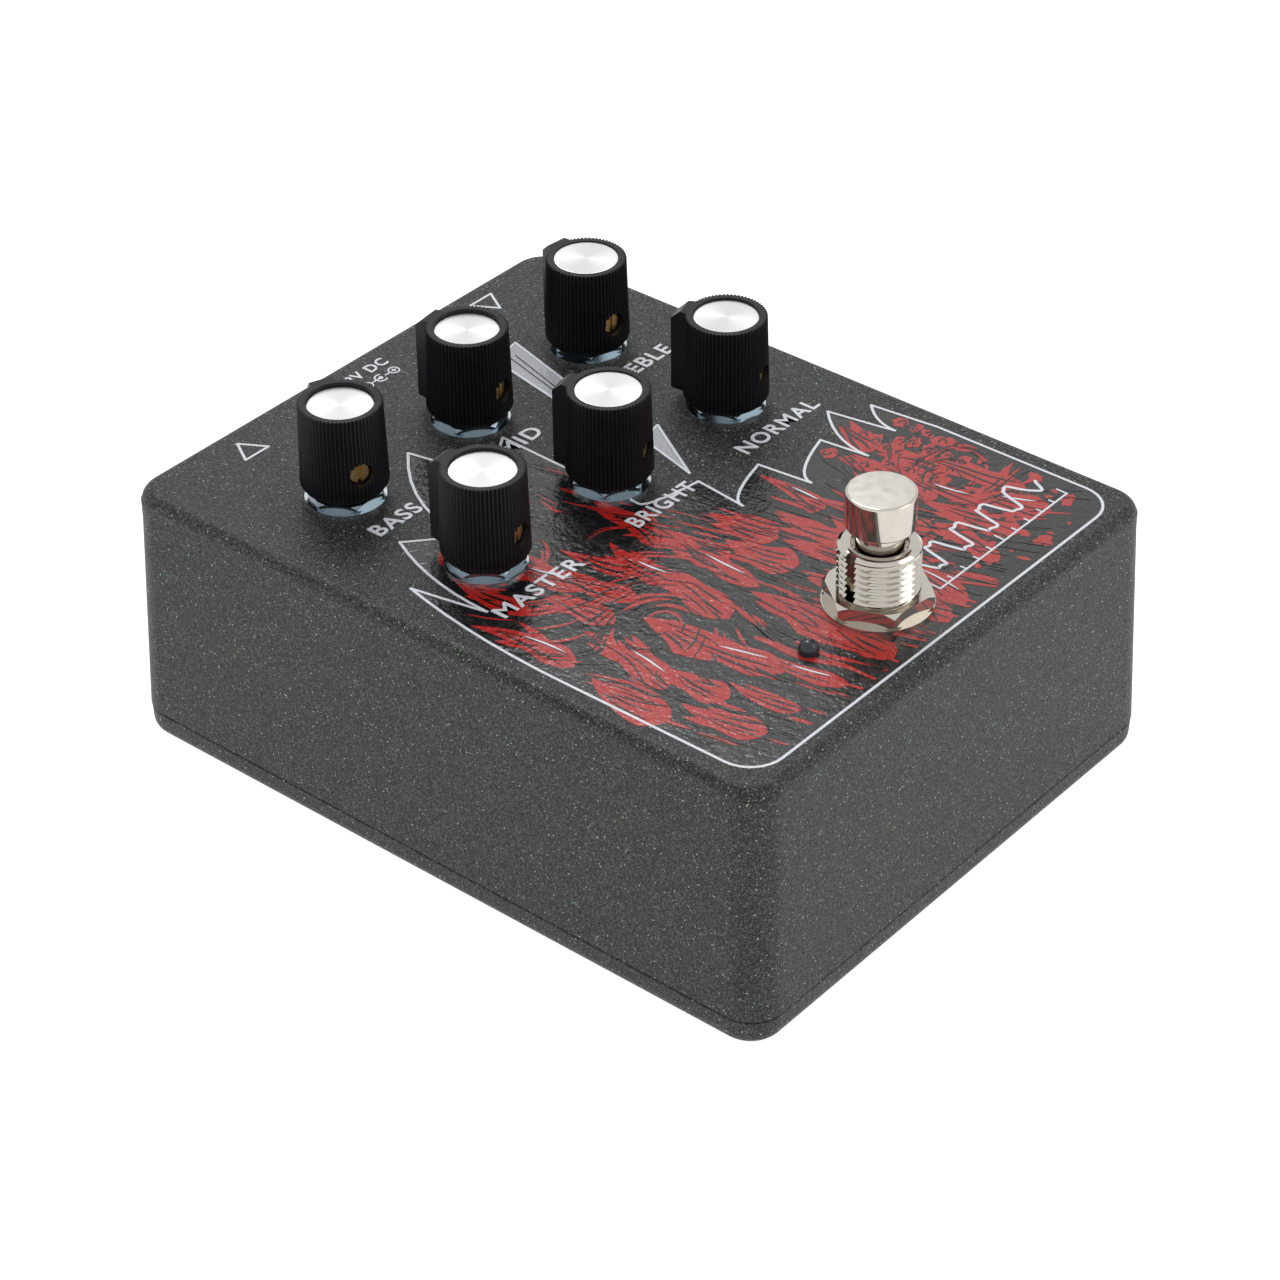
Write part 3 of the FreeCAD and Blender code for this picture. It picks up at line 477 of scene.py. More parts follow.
def knob_angles(reach):
    """Sample angles about a knob, measured from its pointer: close together at the pointer's walls."""
    bend = math.atan(POINTER_TAPER)
    root = math.asin(POINTER_SPREAD * math.cos(bend) / (KNOB_BASE_R - FLUTE_DEPTH)) - bend
    corner = math.atan2(POINTER_SPREAD - POINTER_TAPER * reach, reach)
    steps = POINTER_STEPS
    near = [corner * i / steps for i in range(-steps, steps + 1)]
    walls = [corner + (root - corner) * i / steps for i in range(1, steps + 1)]
    flutes = FLUTES - round(FLUTES * root / math.pi)
    count = flutes * FLUTE_STEPS
    span = 2 * math.pi - 2 * root
    rest = [root + span * i / count for i in range(1, count)]
    return [-w for w in reversed(walls)] + near + walls + rest, root, span / flutes


def knob_ring(radius, z, depth, reach=0.0):
    """One ring of the knob's skin: fluted to a depth, with the pointer's outline where reach is given."""
    angles, root, pitch = knob_angles(reach or POINTER_REACH)
    ring = []
    for t in angles:
        r = radius
        if t > root:
            phase = ((t - root) / pitch) % 1.0
            r -= depth * (0.5 + 0.5 * math.cos(2 * math.pi * phase))
        elif reach:
            wall = POINTER_SPREAD / (abs(math.sin(t)) + POINTER_TAPER * math.cos(t))
            r = max(r - depth, min(reach / math.cos(t), wall))
        else:
            r -= depth
        ring.append((-r * math.sin(t), r * math.cos(t), z))
    return ring


def knob_mesh(recess):
    """The whole moulding about its own axis, from the shaft's hole round the outside to the recess."""
    def side_r(z):
        return KNOB_BASE_R + (KNOB_TOP_R - KNOB_BASE_R) * z / KNOB_H

    deep, reach, top_r = FLUTE_DEPTH, POINTER_REACH, side_r(KNOB_H)
    low, high = POINTER_FOOT, KNOB_H - POINTER_SLOPE
    within = [(KNOB_BORE_R, KNOB_BORE_TOP), (KNOB_BORE_R, POCKET_TOP), (POCKET_R, POCKET_TOP),
              (POCKET_R, 0.2), (4.8, 0), (5.75, 0)]
    rings = [knob_ring(r, z, 0) for r, z in within]
    rings += [knob_ring(5.95, 0.1, deep * 0.4), knob_ring(6.15, low, deep * 0.7),
              knob_ring(6.15, low, deep * 0.7, reach - 0.15), knob_ring(6.2, low + 0.12, deep * 0.8, reach),
              knob_ring(6.42, 0.75, deep, reach), knob_ring(side_r(SIDE_FOOT), SIDE_FOOT, deep, reach)]
    for i in range(1, SIDE_STEPS):
        z = SIDE_FOOT + (high - SIDE_FOOT) * i / SIDE_STEPS
        rings.append(knob_ring(side_r(z), z, deep, reach))
    rings += [knob_ring(side_r(high), high - RIM, deep, reach),
              knob_ring(side_r(high), high + RIM * 0.6, deep, reach - RIM * 0.6),
              knob_ring(top_r, KNOB_H - RIM, deep, POINTER_TOP_REACH + RIM),
              knob_ring(top_r - RIM * 0.25, KNOB_H - RIM * 0.25, deep, POINTER_TOP_REACH + RIM * 0.2),
              knob_ring(top_r - RIM * 0.8, KNOB_H, deep, POINTER_TOP_REACH - RIM * 0.5),
              knob_ring(RECESS_R + RIM, KNOB_H, 0), knob_ring(RECESS_R, KNOB_H - RIM, 0),
              knob_ring(RECESS_R, KNOB_H - recess, 0)]
    return loft("knob", rings)


def knobs(plastic, aluminium, brass, shaft):
    """Each control's knob and inlay, turned to where it was left."""
    steps = [(SCREW_HOLE_R, 0), (SCREW_HOLE_R, SCREW_MOUTH_FROM), (SCREW_MOUTH_R, SCREW_MOUTH_FROM),
             (SCREW_MOUTH_R, 12)]
    drill = turned("drill", steps, 40)
    drill.transform(Matrix.Translation((0, 0, SCREW_Z * MM)) @ Matrix.Rotation(math.radians(90), 4, "X"))
    rim = [(4.7, -0.3), (4.9, -0.3), (4.9, -0.07), (4.87, -0.02), (4.82, 0), (4.6, 0), (0.02, 0)]
    disc = sharpen(turned("disc", rim, 128), 32)
    for name in CONTROLS:
        place = Matrix.Translation(control_axis(name)) @ Matrix.Rotation(control_turn(name), 4, "Z")
        knob_low, knob_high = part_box("knob_" + name)
        inlay_low, inlay_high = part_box("knob_inlay_" + name)
        sample = new_object("sample", knob_mesh((knob_high.z - inlay_low.z) / MM), plastic)
        knob = new_object("fluted_knob_" + name, sharpen(with_hole(sample, drill), 40), plastic)
        bpy.data.objects.remove(sample)
        knob.matrix_world = place @ Matrix.Translation((0, 0, knob_low.z - PANEL_Z))
        inlay = new_object("spun_inlay_" + name, disc, aluminium)
        inlay.matrix_world = place @ Matrix.Translation((0, 0, inlay_high.z - PANEL_Z))
        pieces = ((knob, "knob_", "knob_plastic"), (inlay, "knob_inlay_", "inlay_aluminium"))
        for piece, node, slot in pieces:
            even_shading(piece)
            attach(piece, name + "_control")
            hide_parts(node + name)
        paint_node("knob_screw_" + name, brass)
        rounded(NODES["knob_screw_" + name], 0.1)
        paint_node("pot_shaft_" + name, shaft)


# ---------------------------------------------------------------- threads and the footswitch

BUSHING_R = 5.9
BUSHING_BORE_R = 3.5
MOUTH_R, MOUTH_DEPTH = 4.05, 1.3
THREAD_PITCH = 1.0
THREAD_DEPTH = 0.52
THREAD_SEGMENTS = 120
THREAD_STEPS = 8            # rings to a turn of the thread
THREAD_END = 0.45           # the thread stops this far under the bushing's top
KEYWAY_ANGLE = math.radians(172)
KEYWAY_HALF = 0.85
KEYWAY_FLOOR_R = 4.8
KEYWAY_WALL = 0.004         # angle between the two points at the top and the foot of a wall


def thread_angles():
    """Angles about the bushing and whether each is in the keyway, with a close pair at each of its walls."""
    wide = math.asin(KEYWAY_HALF / BUSHING_R)
    inner = [(KEYWAY_ANGLE + wide * k / 3, True) for k in (-3, -1.5, 0, 1.5, 3)]
    span = 2 * math.pi - 2 * wide - 2 * KEYWAY_WALL
    first = KEYWAY_ANGLE + wide + KEYWAY_WALL
    outer = [(first + span * j / THREAD_SEGMENTS, False) for j in range(THREAD_SEGMENTS + 1)]
    return inner + outer


def keyway_r(t):
    """How far out the keyway's flat floor lies at an angle."""
    return KEYWAY_FLOOR_R / math.cos(t - KEYWAY_ANGLE)


def thread_rings(low, high):
    """Rings of the helical thread between two heights; it fades in and out."""
    rings = []
    count = round((high - low) / THREAD_PITCH * THREAD_STEPS)
    for i in range(count + 1):
        z = low + (high - low) * i / count
        fade = min(1.0, (high - z) / (THREAD_PITCH * 0.8) + 0.15, (z - low) / (THREAD_PITCH * 0.5) + 0.3)
        ring = []
        for t, keyed in thread_angles():
            phase = (z / THREAD_PITCH - t / (2 * math.pi)) % 1.0
            r = BUSHING_R - THREAD_DEPTH * fade * min(1.0, max(0.0, abs(2 * phase - 1) * 1.25 - 0.12))
            if keyed:
                r = min(r, keyway_r(t))
            ring.append((r * math.cos(t), r * math.sin(t), z))
        rings.append(ring)
    return rings


def bore_ring(radius, z):
    """A plain ring with as many points as the thread's."""
    return [(radius * math.cos(t), radius * math.sin(t), z) for t, keyed in thread_angles()]


def barrel_ring(radius, z):
    """A plain ring with as many points as the thread's, cut by the keyway."""
    ring = []
    for t, keyed in thread_angles():
        r = min(radius, keyway_r(t)) if keyed else radius
        ring.append((r * math.cos(t), r * math.sin(t), z))
    return ring


def threaded_sleeve(low, high, thread_low):
    """The footswitch's bushing about Z: bore, plain foot, thread with its keyway, bevelled end and mouth."""
    foot_r = BUSHING_R - 0.01
    rings = [bore_ring(BUSHING_BORE_R, high - MOUTH_DEPTH), bore_ring(BUSHING_BORE_R, low),
             barrel_ring(foot_r, low), barrel_ring(foot_r, thread_low - 0.05)]
    rings += thread_rings(thread_low, high - THREAD_END)
    rings += [barrel_ring(BUSHING_R - 0.22, high - 0.3), barrel_ring(BUSHING_R - 0.5, high - 0.06),
              barrel_ring(BUSHING_R - 0.58, high), bore_ring(MOUTH_R + 0.15, high),
              bore_ring(MOUTH_R, high - 0.15), bore_ring(MOUTH_R, high - MOUTH_DEPTH + 0.02)]
    return tube_loft("bushing", rings)


def footswitch(nickel, satin_nickel):
    """The threaded bushing with its keyway, the button, and the nut and washer of the CAD model."""
    axis = centre("switch_bushing")
    axis.z = 0
    low, high = (corner.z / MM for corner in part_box("switch_bushing"))
    sleeve = threaded_sleeve(low, high, PANEL_Z / MM - 1)
    bushing = new_object("threaded_bushing", sharpen(sleeve, 50), nickel)
    bushing.location = axis
    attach(bushing, "root")
    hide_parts("switch_bushing")
    even_shading(bushing)

    foot, top = (corner.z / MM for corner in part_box("switch_button"))
    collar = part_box("switch_bushing")[0].z / MM - 0.1
    under = PANEL_Z / MM + 12.9
    profile = [(3.2, foot), (3.45, foot + 0.25), (3.45, collar - 1), (3.75, collar - 1), (3.75, collar),
               (3.45, collar), (3.45, under - 0.01), (4.6, under), (4.88, under + 0.1), (5.0, under + 0.35),
               (5.0, top - 0.42), (4.95, top - 0.2), (4.82, top - 0.07), (4.6, top), (0.02, top)]
    button = new_object("polished_button", sharpen(turned("button", profile, 128), 30), nickel)
    button.data.materials.append(satin_nickel)
    for polygon in button.data.polygons:
        if polygon.normal.z > 0.95 and polygon.center.z > (top - 0.01) * MM:
            polygon.material_index = 1
    button.location = axis
    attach(button, "footswitch")
    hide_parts("switch_button")
    even_shading(button)
    for node in ("switch_nut", "switch_washer"):
        paint_node(node, nickel)
        rounded(NODES[node], 0.08)


# ---------------------------------------------------------------- printed artwork
# Flames, embers and a bolt of this model's own design, screen-printed in coats. Each piece of ink
# is a closed slab that starts just under the panel's face. Places are in mm from the frame's origin.

INK_FOOT = -0.005
BLACK, GREY, RED, ETCH, WHITE, TYPE = 0.008, 0.012, 0.018, 0.044, 0.070, 0.096     # tops of the coats
LEVELS, LEVEL_STEP = 60, 0.0004     # strokes of one coat take turns at these heights, so none are coplanar
PRINT_SIDE = 41.9
PRINT_FRONT = -55.2
PRINT_CORNER = 5.4
VALLEYS = ((-PRINT_SIDE, -22), (-36, -3), (-24, 12), (-9, 15), (-2, -2), (7, -14), (18, -18), (29, -20),
           (37, -19), (PRINT_SIDE, -24))
TIPS = ((-38.5, 9), (-31, 18), (-13, 33), (-1, 25), (8, -5), (17, -9), (28, -12), (35, -8), (40.5, -12))
FLAME_ROWS, FLAMES_A_ROW = 5, 10
FLAME_PITCH, ROW_PITCH = 8.2, 10.4
BOLT = ((20.6, 41.5), (14.8, 40.4), (10.9, 20.6), (14.2, 21.4), (8.3, 5.2), (11.1, 6.0), (8.9, -2.6),
        (16.1, 9.4), (13.2, 8.8), (18.9, 24.8), (15.8, 24.0))
SWIRLS = ((-27, 3, 1.1, 15), (-22, -23, -1.2, 11), (30, -33, 0.9, 13))       # centre, spin and reach
DRIFT = (0.16, -0.78)
TONGUE_GAP = 0.7
STROKE_GAP = 0.9
BARBED = 4.0                        # tongues wider than this throw off a barb to each side
KEY_LINE = 0.42
CURVE_STEPS = 16                    # points along a tongue's curve
FLOW_STEP = 0.8                     # distance between the points of a stroke that follows the flow
RED_STROKES, ETCH_STROKES = 170, 430
HEAT_BARS, BAR_PITCH, BAR_CUTS = 11, 2.7, 9
COALS, COALS_A_ROW = 34, 5
SPARKS, SOOT = 95, 26
BLOB_SIDES = 14
WAVE_X, WAVE_Y, WAVE_LENGTH = 8, -43, 31
WAVE_TURNS, WAVE_HEIGHT, WAVE_CLIP = 5, 3.2, 0.72
SCALE_Y, SCALE_MARKS = -48.4, 10
LABELS = (("bass", 9.2), ("mid", 8.0), ("treble", 14.8), ("master", 17.2), ("bright", 13.6), ("normal", 17.6))
LABEL_DROP, LABEL_HEIGHT = 9.8, 2.9


def ring_points(x, y, r, first=0.0, sweep=360.0, steps=28):
    """Points along an arc, by its centre, radius, and first angle and sweep in degrees."""
    angles = [math.radians(first + sweep * i / steps) for i in range(steps + 1)]
    return [Vector((x + r * math.cos(t), y + r * math.sin(t))) for t in angles]


def closed_curve(points, steps=3):
    """A smooth closed curve through points in the plane."""
    places = [Vector(p) for p in points]
    count = len(places)
    found = []
    for i in range(count):
        a, b, c, d = places[i - 1], places[i], places[(i + 1) % count], places[(i + 2) % count]
        for k in range(steps):
            t = k / steps
            found.append(b + ((c - a) * t + (2 * a - 5 * b + 4 * c - d) * t * t
                              + (3 * b - a - 3 * c + d) * t ** 3) / 2)
    return found


def heading_curve(x, y, heading, bend, length):
    """A curve that starts off in a direction and turns steadily, with both angles in degrees."""
    place = Vector((x, y))
    found = [place.copy()]
    for i in range(CURVE_STEPS):
        t = math.radians(heading + bend * (i + 0.5) / CURVE_STEPS)
        place = place + Vector((math.cos(t), math.sin(t))) * length / CURVE_STEPS
        found.append(place.copy())
    return found


def side_step(curve, i):
    """The unit vector across a curve at one of its points."""
    along = curve[min(i + 1, len(curve) - 1)] - curve[max(i - 1, 0)]
    return Vector((-along.y, along.x)).normalized()


def shifted(curve, offset):
    """The curve moved sideways, by a distance that depends on the share of its length."""
    last = len(curve) - 1
    return [p + side_step(curve, i) * offset(i / last) for i, p in enumerate(curve)]


def flame_width(width):
    """A tongue's width along its length: a round root and a long point."""
    return lambda s: width * (math.sqrt(s / 0.22) if s < 0.22 else ((1 - s) / 0.78) ** 0.85) + 0.03


def streak_width(width):
    """A stroke's width along its length: widest in the middle, with two points."""
    return lambda s: width * math.sin(math.pi * s) ** 0.6 + 0.03


def inside(outline, point):
    """Whether a point is inside an outline."""
    odd = False
    for i, a in enumerate(outline):
        b = outline[i - 1]
        crosses = (a.y > point.y) != (b.y > point.y)
        if crosses and point.x < (b.x - a.x) * (point.y - a.y) / (b.y - a.y) + a.x:
            odd = not odd
    return odd


def clear_of(outline, point, gap):
    """Whether a point is inside an outline and no nearer to it than the gap."""
    return inside(outline, point) and all((point - p).length_squared > gap * gap for p in outline)


def flow(point):
    """The way that the flames lean at a point."""
    way = Vector(DRIFT)
    for x, y, spin, reach in SWIRLS:
        out = point - Vector((x, y))
        pull = 2.2 * spin * math.exp(-out.length_squared / (reach * reach))
        way += Vector((-out.y, out.x)).normalized() * pull
    return way.normalized()


def kept_inside(edge, curve, gap):
    """The first part of a curve, up to where it comes too near to the edge."""
    found = []
    for point in curve:
        if not clear_of(edge, point, gap):
            break
        found.append(point)
    return found


class Ink:
    """One coat of ink, gathered into a single object."""

    def __init__(self, name, top):
        self.name, self.top = name, top
        self.points, self.faces, self.count = [], [], 0

    def slab(self, outline, caps):
        """A closed slab from its outline and the faces that fill it, a hair higher than the last."""
        total, base = len(outline), len(self.points)
        top = self.top + (self.count % LEVELS) * LEVEL_STEP
        self.count += 1
        for z in (top, INK_FOOT):
            self.points += [Vector((p[0], p[1], PANEL_Z / MM + z)) * MM for p in outline]
        self.faces += [[base + k for k in cap] for cap in caps]
        self.faces += [[base + total + k for k in reversed(cap)] for cap in caps]
        for i in range(total):
            j = (i + 1) % total
            self.faces.append([base + i, base + total + i, base + total + j, base + j])

    def shape(self, outline):
        self.slab(outline, tessellate_polygon([[Vector((p[0], p[1], 0)) for p in outline]]))

    def ribbon(self, curve, width):
        """A stroke along a curve, with a width that depends on the share of its length."""
        half = [side_step(curve, i) * width(i / (len(curve) - 1)) / 2 for i in range(len(curve))]
        left = [p + h for p, h in zip(curve, half)]
        right = [p - h for p, h in zip(curve, half)]
        outline = left + right[::-1]
        end = len(outline) - 1
        self.slab(outline, [(i, i + 1, end - i - 1, end - i) for i in range(len(curve) - 1)])

    def line(self, points, width):
        """Straight strokes of even width from point to point, which overlap at their corners."""
        for a, b in zip(points, points[1:]):
            a, b = Vector(a), Vector(b)
            over = (b - a).normalized() * width * 0.35
            self.ribbon([a - over, b + over], lambda s: width)

    def blob(self, x, y, size, dice):
        """A splash with an uneven edge, drawn out in one direction."""
        lean = dice.uniform(0, math.pi)
        stretch = dice.uniform(1.0, 1.9)
        along, across = (math.cos(lean), math.sin(lean)), (-math.sin(lean), math.cos(lean))
        edge = []
        for i in range(BLOB_SIDES):
            t = 2 * math.pi * i / BLOB_SIDES
            r = size * dice.uniform(0.72, 1.15)
            u, v = r * stretch * math.cos(t), r * math.sin(t)
            edge.append((x + u * along[0] + v * across[0], y + u * along[1] + v * across[1]))
        self.shape(closed_curve(edge))

    def made(self, material):
        mesh = mesh_from(self.name, self.points, self.faces, smooth=False)
        obj = new_object(self.name, mesh, material)
        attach(obj, "root")
        return obj


def bent(start, corner, end, steps=7):
    """A curve from start towards end that is drawn to a corner on its way."""
    shares = [k / steps for k in range(steps)]
    return [(1 - t) ** 2 * start + 2 * t * (1 - t) * corner + t * t * end for t in shares]


def flame_edge():
    """The print's outline: straight sides and front with round corners, and tongues along its rear edge."""
    found = []
    for start, tip, end in zip(VALLEYS, TIPS, VALLEYS[1:]):
        a, peak, b = Vector(start), Vector(tip), Vector(end)
        found += bent(a, Vector((a.x, a.y * 0.45 + peak.y * 0.55)), peak)
        found += bent(peak, Vector((b.x * 0.75 + peak.x * 0.25, b.y * 0.8 + peak.y * 0.2)), b)
    x, y = PRINT_SIDE - PRINT_CORNER, PRINT_FRONT + PRINT_CORNER
    found += ring_points(x, y, PRINT_CORNER, 0, -90, 8)
    found += ring_points(-x, y, PRINT_CORNER, -90, -90, 8)
    return found


def filled(points, step=1.0):
    """A closed outline with more points along its straight parts."""
    found = []
    for a, b in zip(points, points[1:] + points[:1]):
        count = max(1, round((b - a).length / step))
        found += [a.lerp(b, k / count) for k in range(count)]
    return found


def tongues(dice):
    """Staggered rows of flames: each one's root, heading and bend in degrees, length and width."""
    for row in range(FLAME_ROWS):
        for i in range(FLAMES_A_ROW):
            x = FLAME_PITCH * (i + 0.5 * (row % 2) - 0.5 * FLAMES_A_ROW) + dice.uniform(-2.2, 2.2)
            wave = 2.5 * math.sin(0.9 * i + 2 * row)
            y = PRINT_FRONT + 3 + ROW_PITCH * row + wave + dice.uniform(-1.5, 1.5)
            lean = 22 * math.sin(0.8 * i + 1.7 * row)
            heading = 90 + lean + dice.uniform(-12, 12)
            yield x, y, heading, -1.8 * lean, dice.uniform(11, 20), dice.uniform(3.2, 7.4)


def flame_strokes(red, etch, white, edge, dice):
    """The tongues, each engraved with dark lines and some with a white glint."""
    for i, (x, y, heading, bend, length, width) in enumerate(tongues(dice)):
        curve = kept_inside(edge, heading_curve(x, y, heading, bend, length), TONGUE_GAP)
        if len(curve) < 12:
            continue
        red.ribbon(curve, flame_width(width))
        cuts = max(1, round(width / 2.0))
        for k in range(cuts):
            side = (k + 0.5) / cuts - 0.5
            first, last = dice.randint(1, 3), dice.randint(9, 14)
            wave = dice.uniform(0, 6)
            path = shifted(curve, lambda s: width * side * (1 - s) + 0.18 * math.sin(9 * s + wave))
            etch.ribbon(path[first:last], streak_width(dice.uniform(0.22, 0.5)))
        if width > BARBED:
            for side in (-1, 1):
                start = curve[6 + side]
                turn = heading + bend * 0.4 + side * dice.uniform(26, 44)
                barb = heading_curve(start.x, start.y, turn, -side * 34, length * 0.45)
                barb = kept_inside(edge, barb, TONGUE_GAP)
                if len(barb) > 5:
                    red.ribbon(barb, flame_width(width * 0.45))
        if i % 3 == 0:
            glint = shifted(curve, lambda s: -0.34 * width * (1 - s))[3:10]
            white.ribbon(glint, streak_width(0.3))


def flow_strokes(ink, edge, dice, number, widths, lengths):
    """Strokes that follow the flow inside the flames' edge."""
    drawn = 0
    while drawn < number:
        place = Vector((dice.uniform(-41, 41), dice.uniform(-54.5, 32)))
        if not clear_of(edge, place, STROKE_GAP):
            continue
        curve = [place]
        for step in range(round(dice.uniform(*lengths) / FLOW_STEP)):
            place = place + flow(place) * FLOW_STEP
            if not clear_of(edge, place, STROKE_GAP):
                break
            curve.append(place)
        if len(curve) > 3:
            ink.ribbon(curve, streak_width(dice.uniform(*widths)))
            drawn += 1


def parallel_streaks(red, etch, dice):
    """Bars of heat that run down to the front edge, cut across by hatching."""
    for i in range(HEAT_BARS):
        x = -20.5 + i * BAR_PITCH
        top = -38.5 + 3.2 * math.sin(i * 1.9) + (4.0 if i > 6 else 0.0)
        length = -54.2 - top
        curve = [Vector((x + 0.16 * s * (1 + 0.1 * i) + 0.4 * math.sin(0.5 * s + i), top - s))
                 for s in (k * abs(length) / 14 for k in range(15))]
        swell = 0.75 + 0.35 * math.sin(i * 2.3)
        red.ribbon(curve, lambda s: 0.5 + swell * math.sin(math.pi * min(1, s * 1.1 + 0.05)))
        for k in range(BAR_CUTS):
            place = curve[3 + k] + Vector((dice.uniform(-0.7, 0.7), dice.uniform(-0.5, 0.5)))
            cut = Vector((dice.uniform(0.5, 1.1), dice.uniform(0.2, 0.7)))
            etch.ribbon([place, place + cut], streak_width(0.22))


def coals(red, etch, edge, dice):
    """A heap of hot coals in the right-hand corner, each with dark cracks."""
    for i in range(COALS):
        x = 26.6 + 3.1 * (i % COALS_A_ROW) + dice.uniform(-0.6, 0.6)
        y = -15.5 - 2.7 * (i // COALS_A_ROW) + dice.uniform(-0.5, 0.5)
        size = dice.uniform(0.95, 1.45)
        if clear_of(edge, Vector((x, y)), size + 0.4):
            red.blob(x, y, size, dice)
            turn = dice.uniform(0, 360)
            etch.ribbon(ring_points(x, y, size * 0.62, turn, 150, 10), streak_width(0.34))
            etch.ribbon(ring_points(x, y, size * 0.25, turn + 90, 200, 8), streak_width(0.3))


def splatter(red, etch, dice):
    """Sparks thrown off around the footswitch."""
    for i in range(SPARKS):
        x, y = dice.uniform(11.5, 40.5), dice.uniform(-53.5, -22.5)
        red.blob(x, y, dice.uniform(0.2, 0.95) ** 1.4, dice)
    for i in range(SOOT):
        x, y = dice.uniform(12.5, 40), dice.uniform(-52, -24)
        etch.blob(x, y, dice.uniform(0.15, 0.5), dice)


def bolt(grey, etch, white):
    """A lightning bolt between the middle and the right-hand controls."""
    grey.shape(BOLT)
    white.line(list(BOLT) + [BOLT[0]], KEY_LINE)
    for shift in (0.0, 1.1):
        etch.line([(17.8 - shift, 39.0), (13.2 - shift * 0.6, 23.0)], 0.2)
        etch.line([(16.0 - shift, 21.6), (11.4 - shift * 0.6, 7.4)], 0.2)


def waveform(white):
    """A fuzzed waveform over a scale, where the pedal would carry its name."""
    clipped = []
    for i in range(181):
        t = i / 180
        swing = 1.5 * (math.sin(2 * math.pi * WAVE_TURNS * t) * math.sin(math.pi * t) ** 0.5)
        held = max(-WAVE_CLIP, min(WAVE_CLIP, swing))
        y = WAVE_Y + WAVE_HEIGHT * held + 0.22 * math.sin(97 * t)
        clipped.append(Vector((WAVE_X + WAVE_LENGTH * t, y)))
    white.ribbon(clipped, lambda s: 0.5)
    white.line([(WAVE_X, SCALE_Y), (WAVE_X + WAVE_LENGTH, SCALE_Y)], 0.32)
    for i in range(SCALE_MARKS + 1):
        x = WAVE_X + WAVE_LENGTH / SCALE_MARKS * i
        white.line([(x, SCALE_Y), (x, -47.4 if i % 5 else -46.6)], 0.3)


def socket_marks(white):
    """Triangles that show which way the signal goes, and the supply's polarity."""
    white.line([(-27.0, 54.4), (-24.6, 50.3), (-29.4, 50.3), (-27.0, 54.4)], 0.4)
    white.line([(27.0, 50.3), (24.6, 54.4), (29.4, 54.4), (27.0, 50.3)], 0.4)
    for x in (-2.9, 2.9):
        white.ribbon(ring_points(x, 50.6, 0.85), lambda s: 0.25)
        white.line([(x - 0.42, 50.6), (x + 0.42, 50.6)], 0.22)
    white.line([(2.9, 50.18), (2.9, 51.02)], 0.22)
    white.line([(-2.0, 50.6), (-0.1, 50.6)], 0.25)
    white.line([(1.0, 50.6), (2.0, 50.6)], 0.25)
    white.ribbon(ring_points(0, 50.6, 0.95, 50, 260), lambda s: 0.28)
    white.shape(ring_points(0, 50.6, 0.4)[:-1])


def lettering(body, x, y, width, height, material):
    """A generic word for a control, in the plain built-in face made bolder, centred at a place."""
    text = bpy.data.curves.new("word_" + body, "FONT")
    text.body = body
    text.offset = 0.018
    text.extrude = 0.01
    text.space_character = 1.12
    text.resolution_u = 4
    source = bpy.data.objects.new("source", text)
    bpy.context.scene.collection.objects.link(source)
    mesh = bpy.data.meshes.new_from_object(source.evaluated_get(bpy.context.evaluated_depsgraph_get()))
    bpy.data.objects.remove(source)
    low = [min(v.co[k] for v in mesh.vertices) for k in range(3)]
    high = [max(v.co[k] for v in mesh.vertices) for k in range(3)]
    spans = (width, height, TYPE - INK_FOOT)
    starts = (x - width / 2, y - height / 2, PANEL_Z / MM + INK_FOOT)
    for vertex in mesh.vertices:
        for k in range(3):
            vertex.co[k] = (starts[k] + (vertex.co[k] - low[k]) / (high[k] - low[k]) * spans[k]) * MM
    name = "printed_" + body.lower().replace(" ", "_")
    obj = new_object(name, mesh, material)
    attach(obj, "root")


def artwork():
    """The whole print: the coats from the panel up, then the controls' names."""
    dice = random.Random(41)
    outline = flame_edge()
    edge = filled(outline)
    black = Ink("print_black_ground", BLACK)
    grey = Ink("print_grey_bolt", GREY)
    red = Ink("print_red_flames", RED)
    etch = Ink("print_black_engraving", ETCH)
    white = Ink("print_white_lines", WHITE)
    black.shape(outline)
    flow_strokes(red, edge, dice, RED_STROKES, (0.25, 0.8), (4, 9))
    flame_strokes(red, etch, white, edge, dice)
    parallel_streaks(red, etch, dice)
    coals(red, etch, edge, dice)
    splatter(red, etch, dice)
    flow_strokes(etch, edge, dice, ETCH_STROKES, (0.14, 0.36), (2, 7))
    bolt(grey, etch, white)
    white.line(outline + [outline[0]], KEY_LINE)
    waveform(white)
    socket_marks(white)
    black.made(print_ink("ink_black", (0.004, 0.004, 0.005)))
    etch.made(print_ink("ink_black_over", (0.005, 0.004, 0.004)))
    red.made(print_ink("ink_red", (0.34, 0.012, 0.009)))
    grey.made(print_ink("ink_grey", (0.33, 0.345, 0.37)))
    paint = print_ink("ink_white", (0.58, 0.6, 0.64), 0.25)
    white.made(paint)
    for name, width in LABELS:
        place = control_axis(name) / MM
        lettering(name.upper(), place.x, place.y - LABEL_DROP, width, LABEL_HEIGHT, paint)
    lettering("9V DC", 0, 53.7, 8.4, 2.2, paint)


# ---------------------------------------------------------------- everything else that CAD shapes

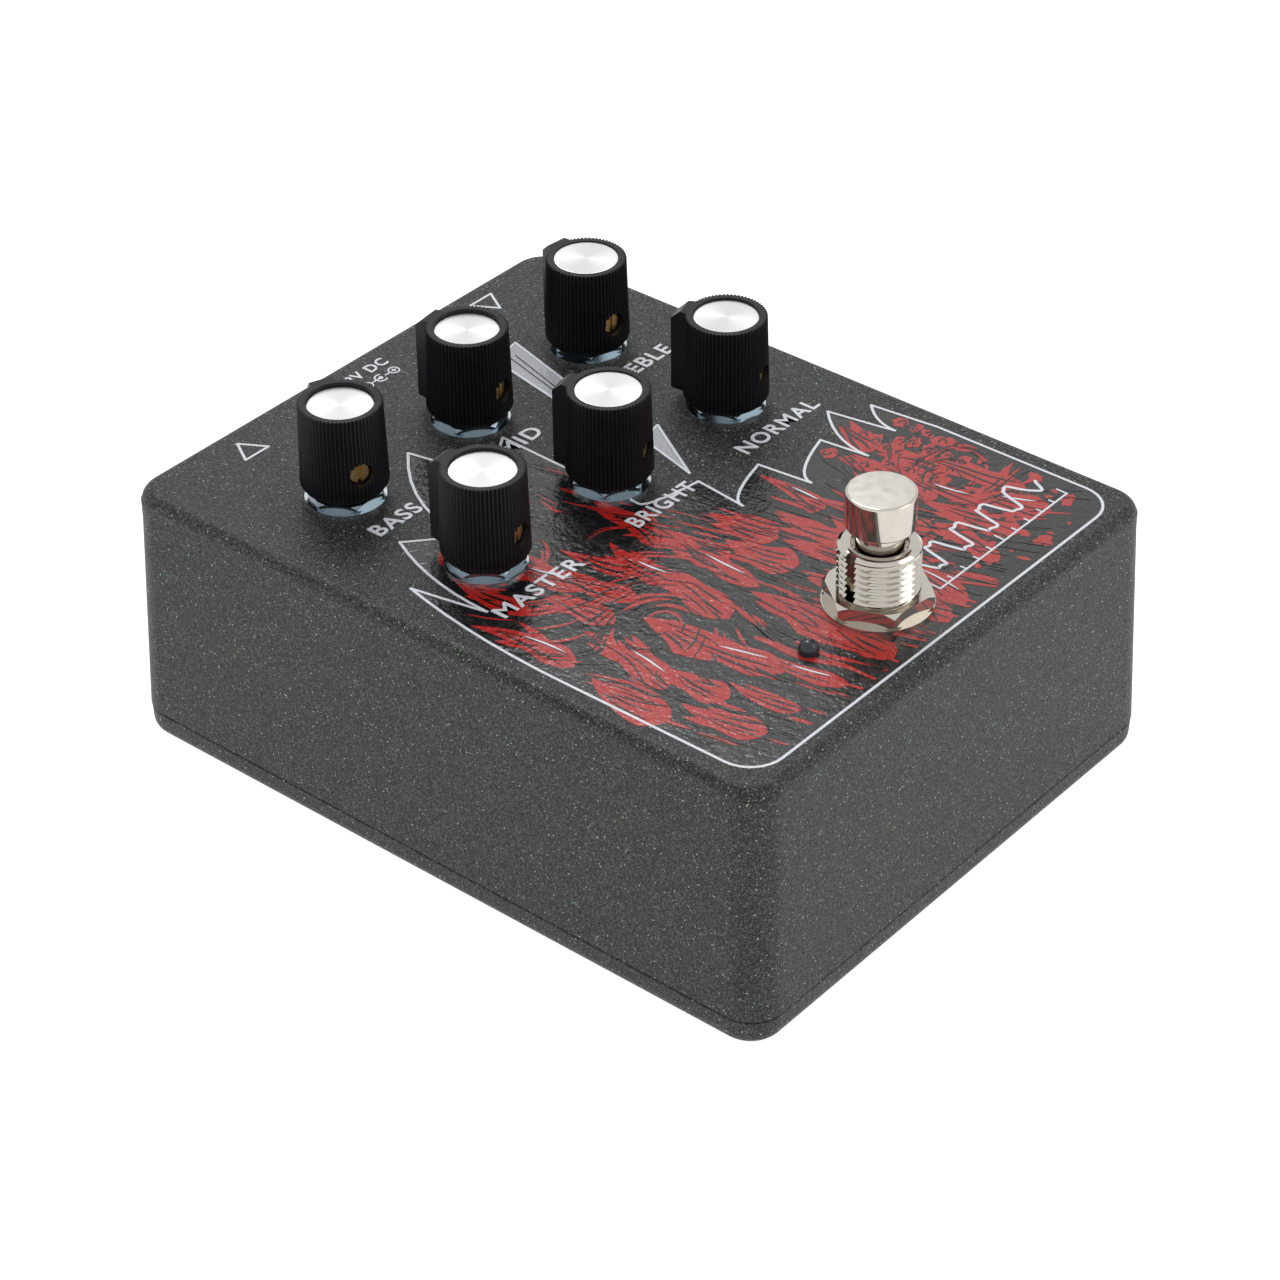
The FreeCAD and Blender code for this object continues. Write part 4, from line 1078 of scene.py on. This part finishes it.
def carried_over():
    """The CAD nodes that keep their shape, with their finishes."""
    coat = powder_coat("charcoal_coat")
    # the nuts' and bushings' zinc has a dark base colour, far under the washers' zinc: painted shade for the
    # dark reflections on their facets
    zinc = plated("zinc_painted_dark", (0.2, 0.25, 0.285), 0.1)
    washer_zinc = plated("washer_zinc", (0.7, 0.75, 0.79), 0.14)
    nickel = plated("jack_nickel", (0.8, 0.77, 0.72), 0.14)
    tin = plated("tinned_pins", (0.8, 0.8, 0.78), 0.25)
    steel = plated("pressed_steel", (0.62, 0.62, 0.6), 0.3)
    black_steel = plated("black_oxide", (0.06, 0.06, 0.065), 0.35)
    black = moulded("black_moulding", (0.014, 0.014, 0.015), 0.4)
    phenolic = moulded("phenolic", (0.2, 0.1, 0.05), 0.6)
    blue = moulded("blue_moulding", (0.02, 0.06, 0.22), 0.4)
    sleeve = moulded("shrink_sleeve", (0.01, 0.01, 0.03), 0.2)
    red_box = moulded("box_film", (0.4, 0.03, 0.02), 0.25)
    lacquer = moulded("lacquer", (0.1, 0.3, 0.45), 0.3)
    green = board_green("solder_mask")
    finishes = (
        (coat, ("enclosure_body", "bottom_cover")),
        (zinc, ("pot_nuts", "pot_bushings")),
        (washer_zinc, ("pot_washers",)),
        (nickel, ("jack_nuts", "jack_washers", "input_jack_bushing", "output_jack_bushing",
                  "switch_inner_nut")),
        (tin, ("pot_terminals", "switch_terminals", "socket_contacts", "led_leads", "dc_centre_pin")),
        (steel, ("pot_cases", "switch_spring")),
        (black_steel, ("cover_screws",)),
        (black, ("header_strip", "input_jack_housing", "output_jack_housing", "dc_jack_housing",
                 "dc_jack_nut", "integrated_circuits")),
        (phenolic, ("pot_wafers",)),
        (blue, ("switch_housing",)),
        (sleeve, ("electrolytic_capacitors",)),
        (red_box, ("film_capacitors",)),
        (lacquer, ("resistors",)),
        (green, ("circuit_board", "switch_board")),
        (clear_resin("lamp_resin"), ("led_lens",)),
    )
    for material, nodes in finishes:
        for node in nodes:
            paint_node(node, material)
    for node in ("pot_nuts", "pot_washers", "jack_nuts", "jack_washers", "dc_jack_nut", "cover_screws"):
        rounded(NODES[node], 0.08)


# ---------------------------------------------------------------- build

camera()
studio()
floor()
carried_over()
knobs(
    moulded("knob_phenolic", (0.0072, 0.0072, 0.0094), 0.42, shine=0.24),
    spun_disc("spun_aluminium"),
    plated("set_screw_brass", (0.95, 0.66, 0.26), 0.3),
    plated("shaft_aluminium", (0.75, 0.75, 0.75), 0.3),
)
footswitch(
    plated("switch_nickel", (0.58, 0.545, 0.49), 0.1),
    plated("satin_nickel", (0.57, 0.545, 0.495), 0.35),
)
artwork()

bpy.context.view_layer.update()
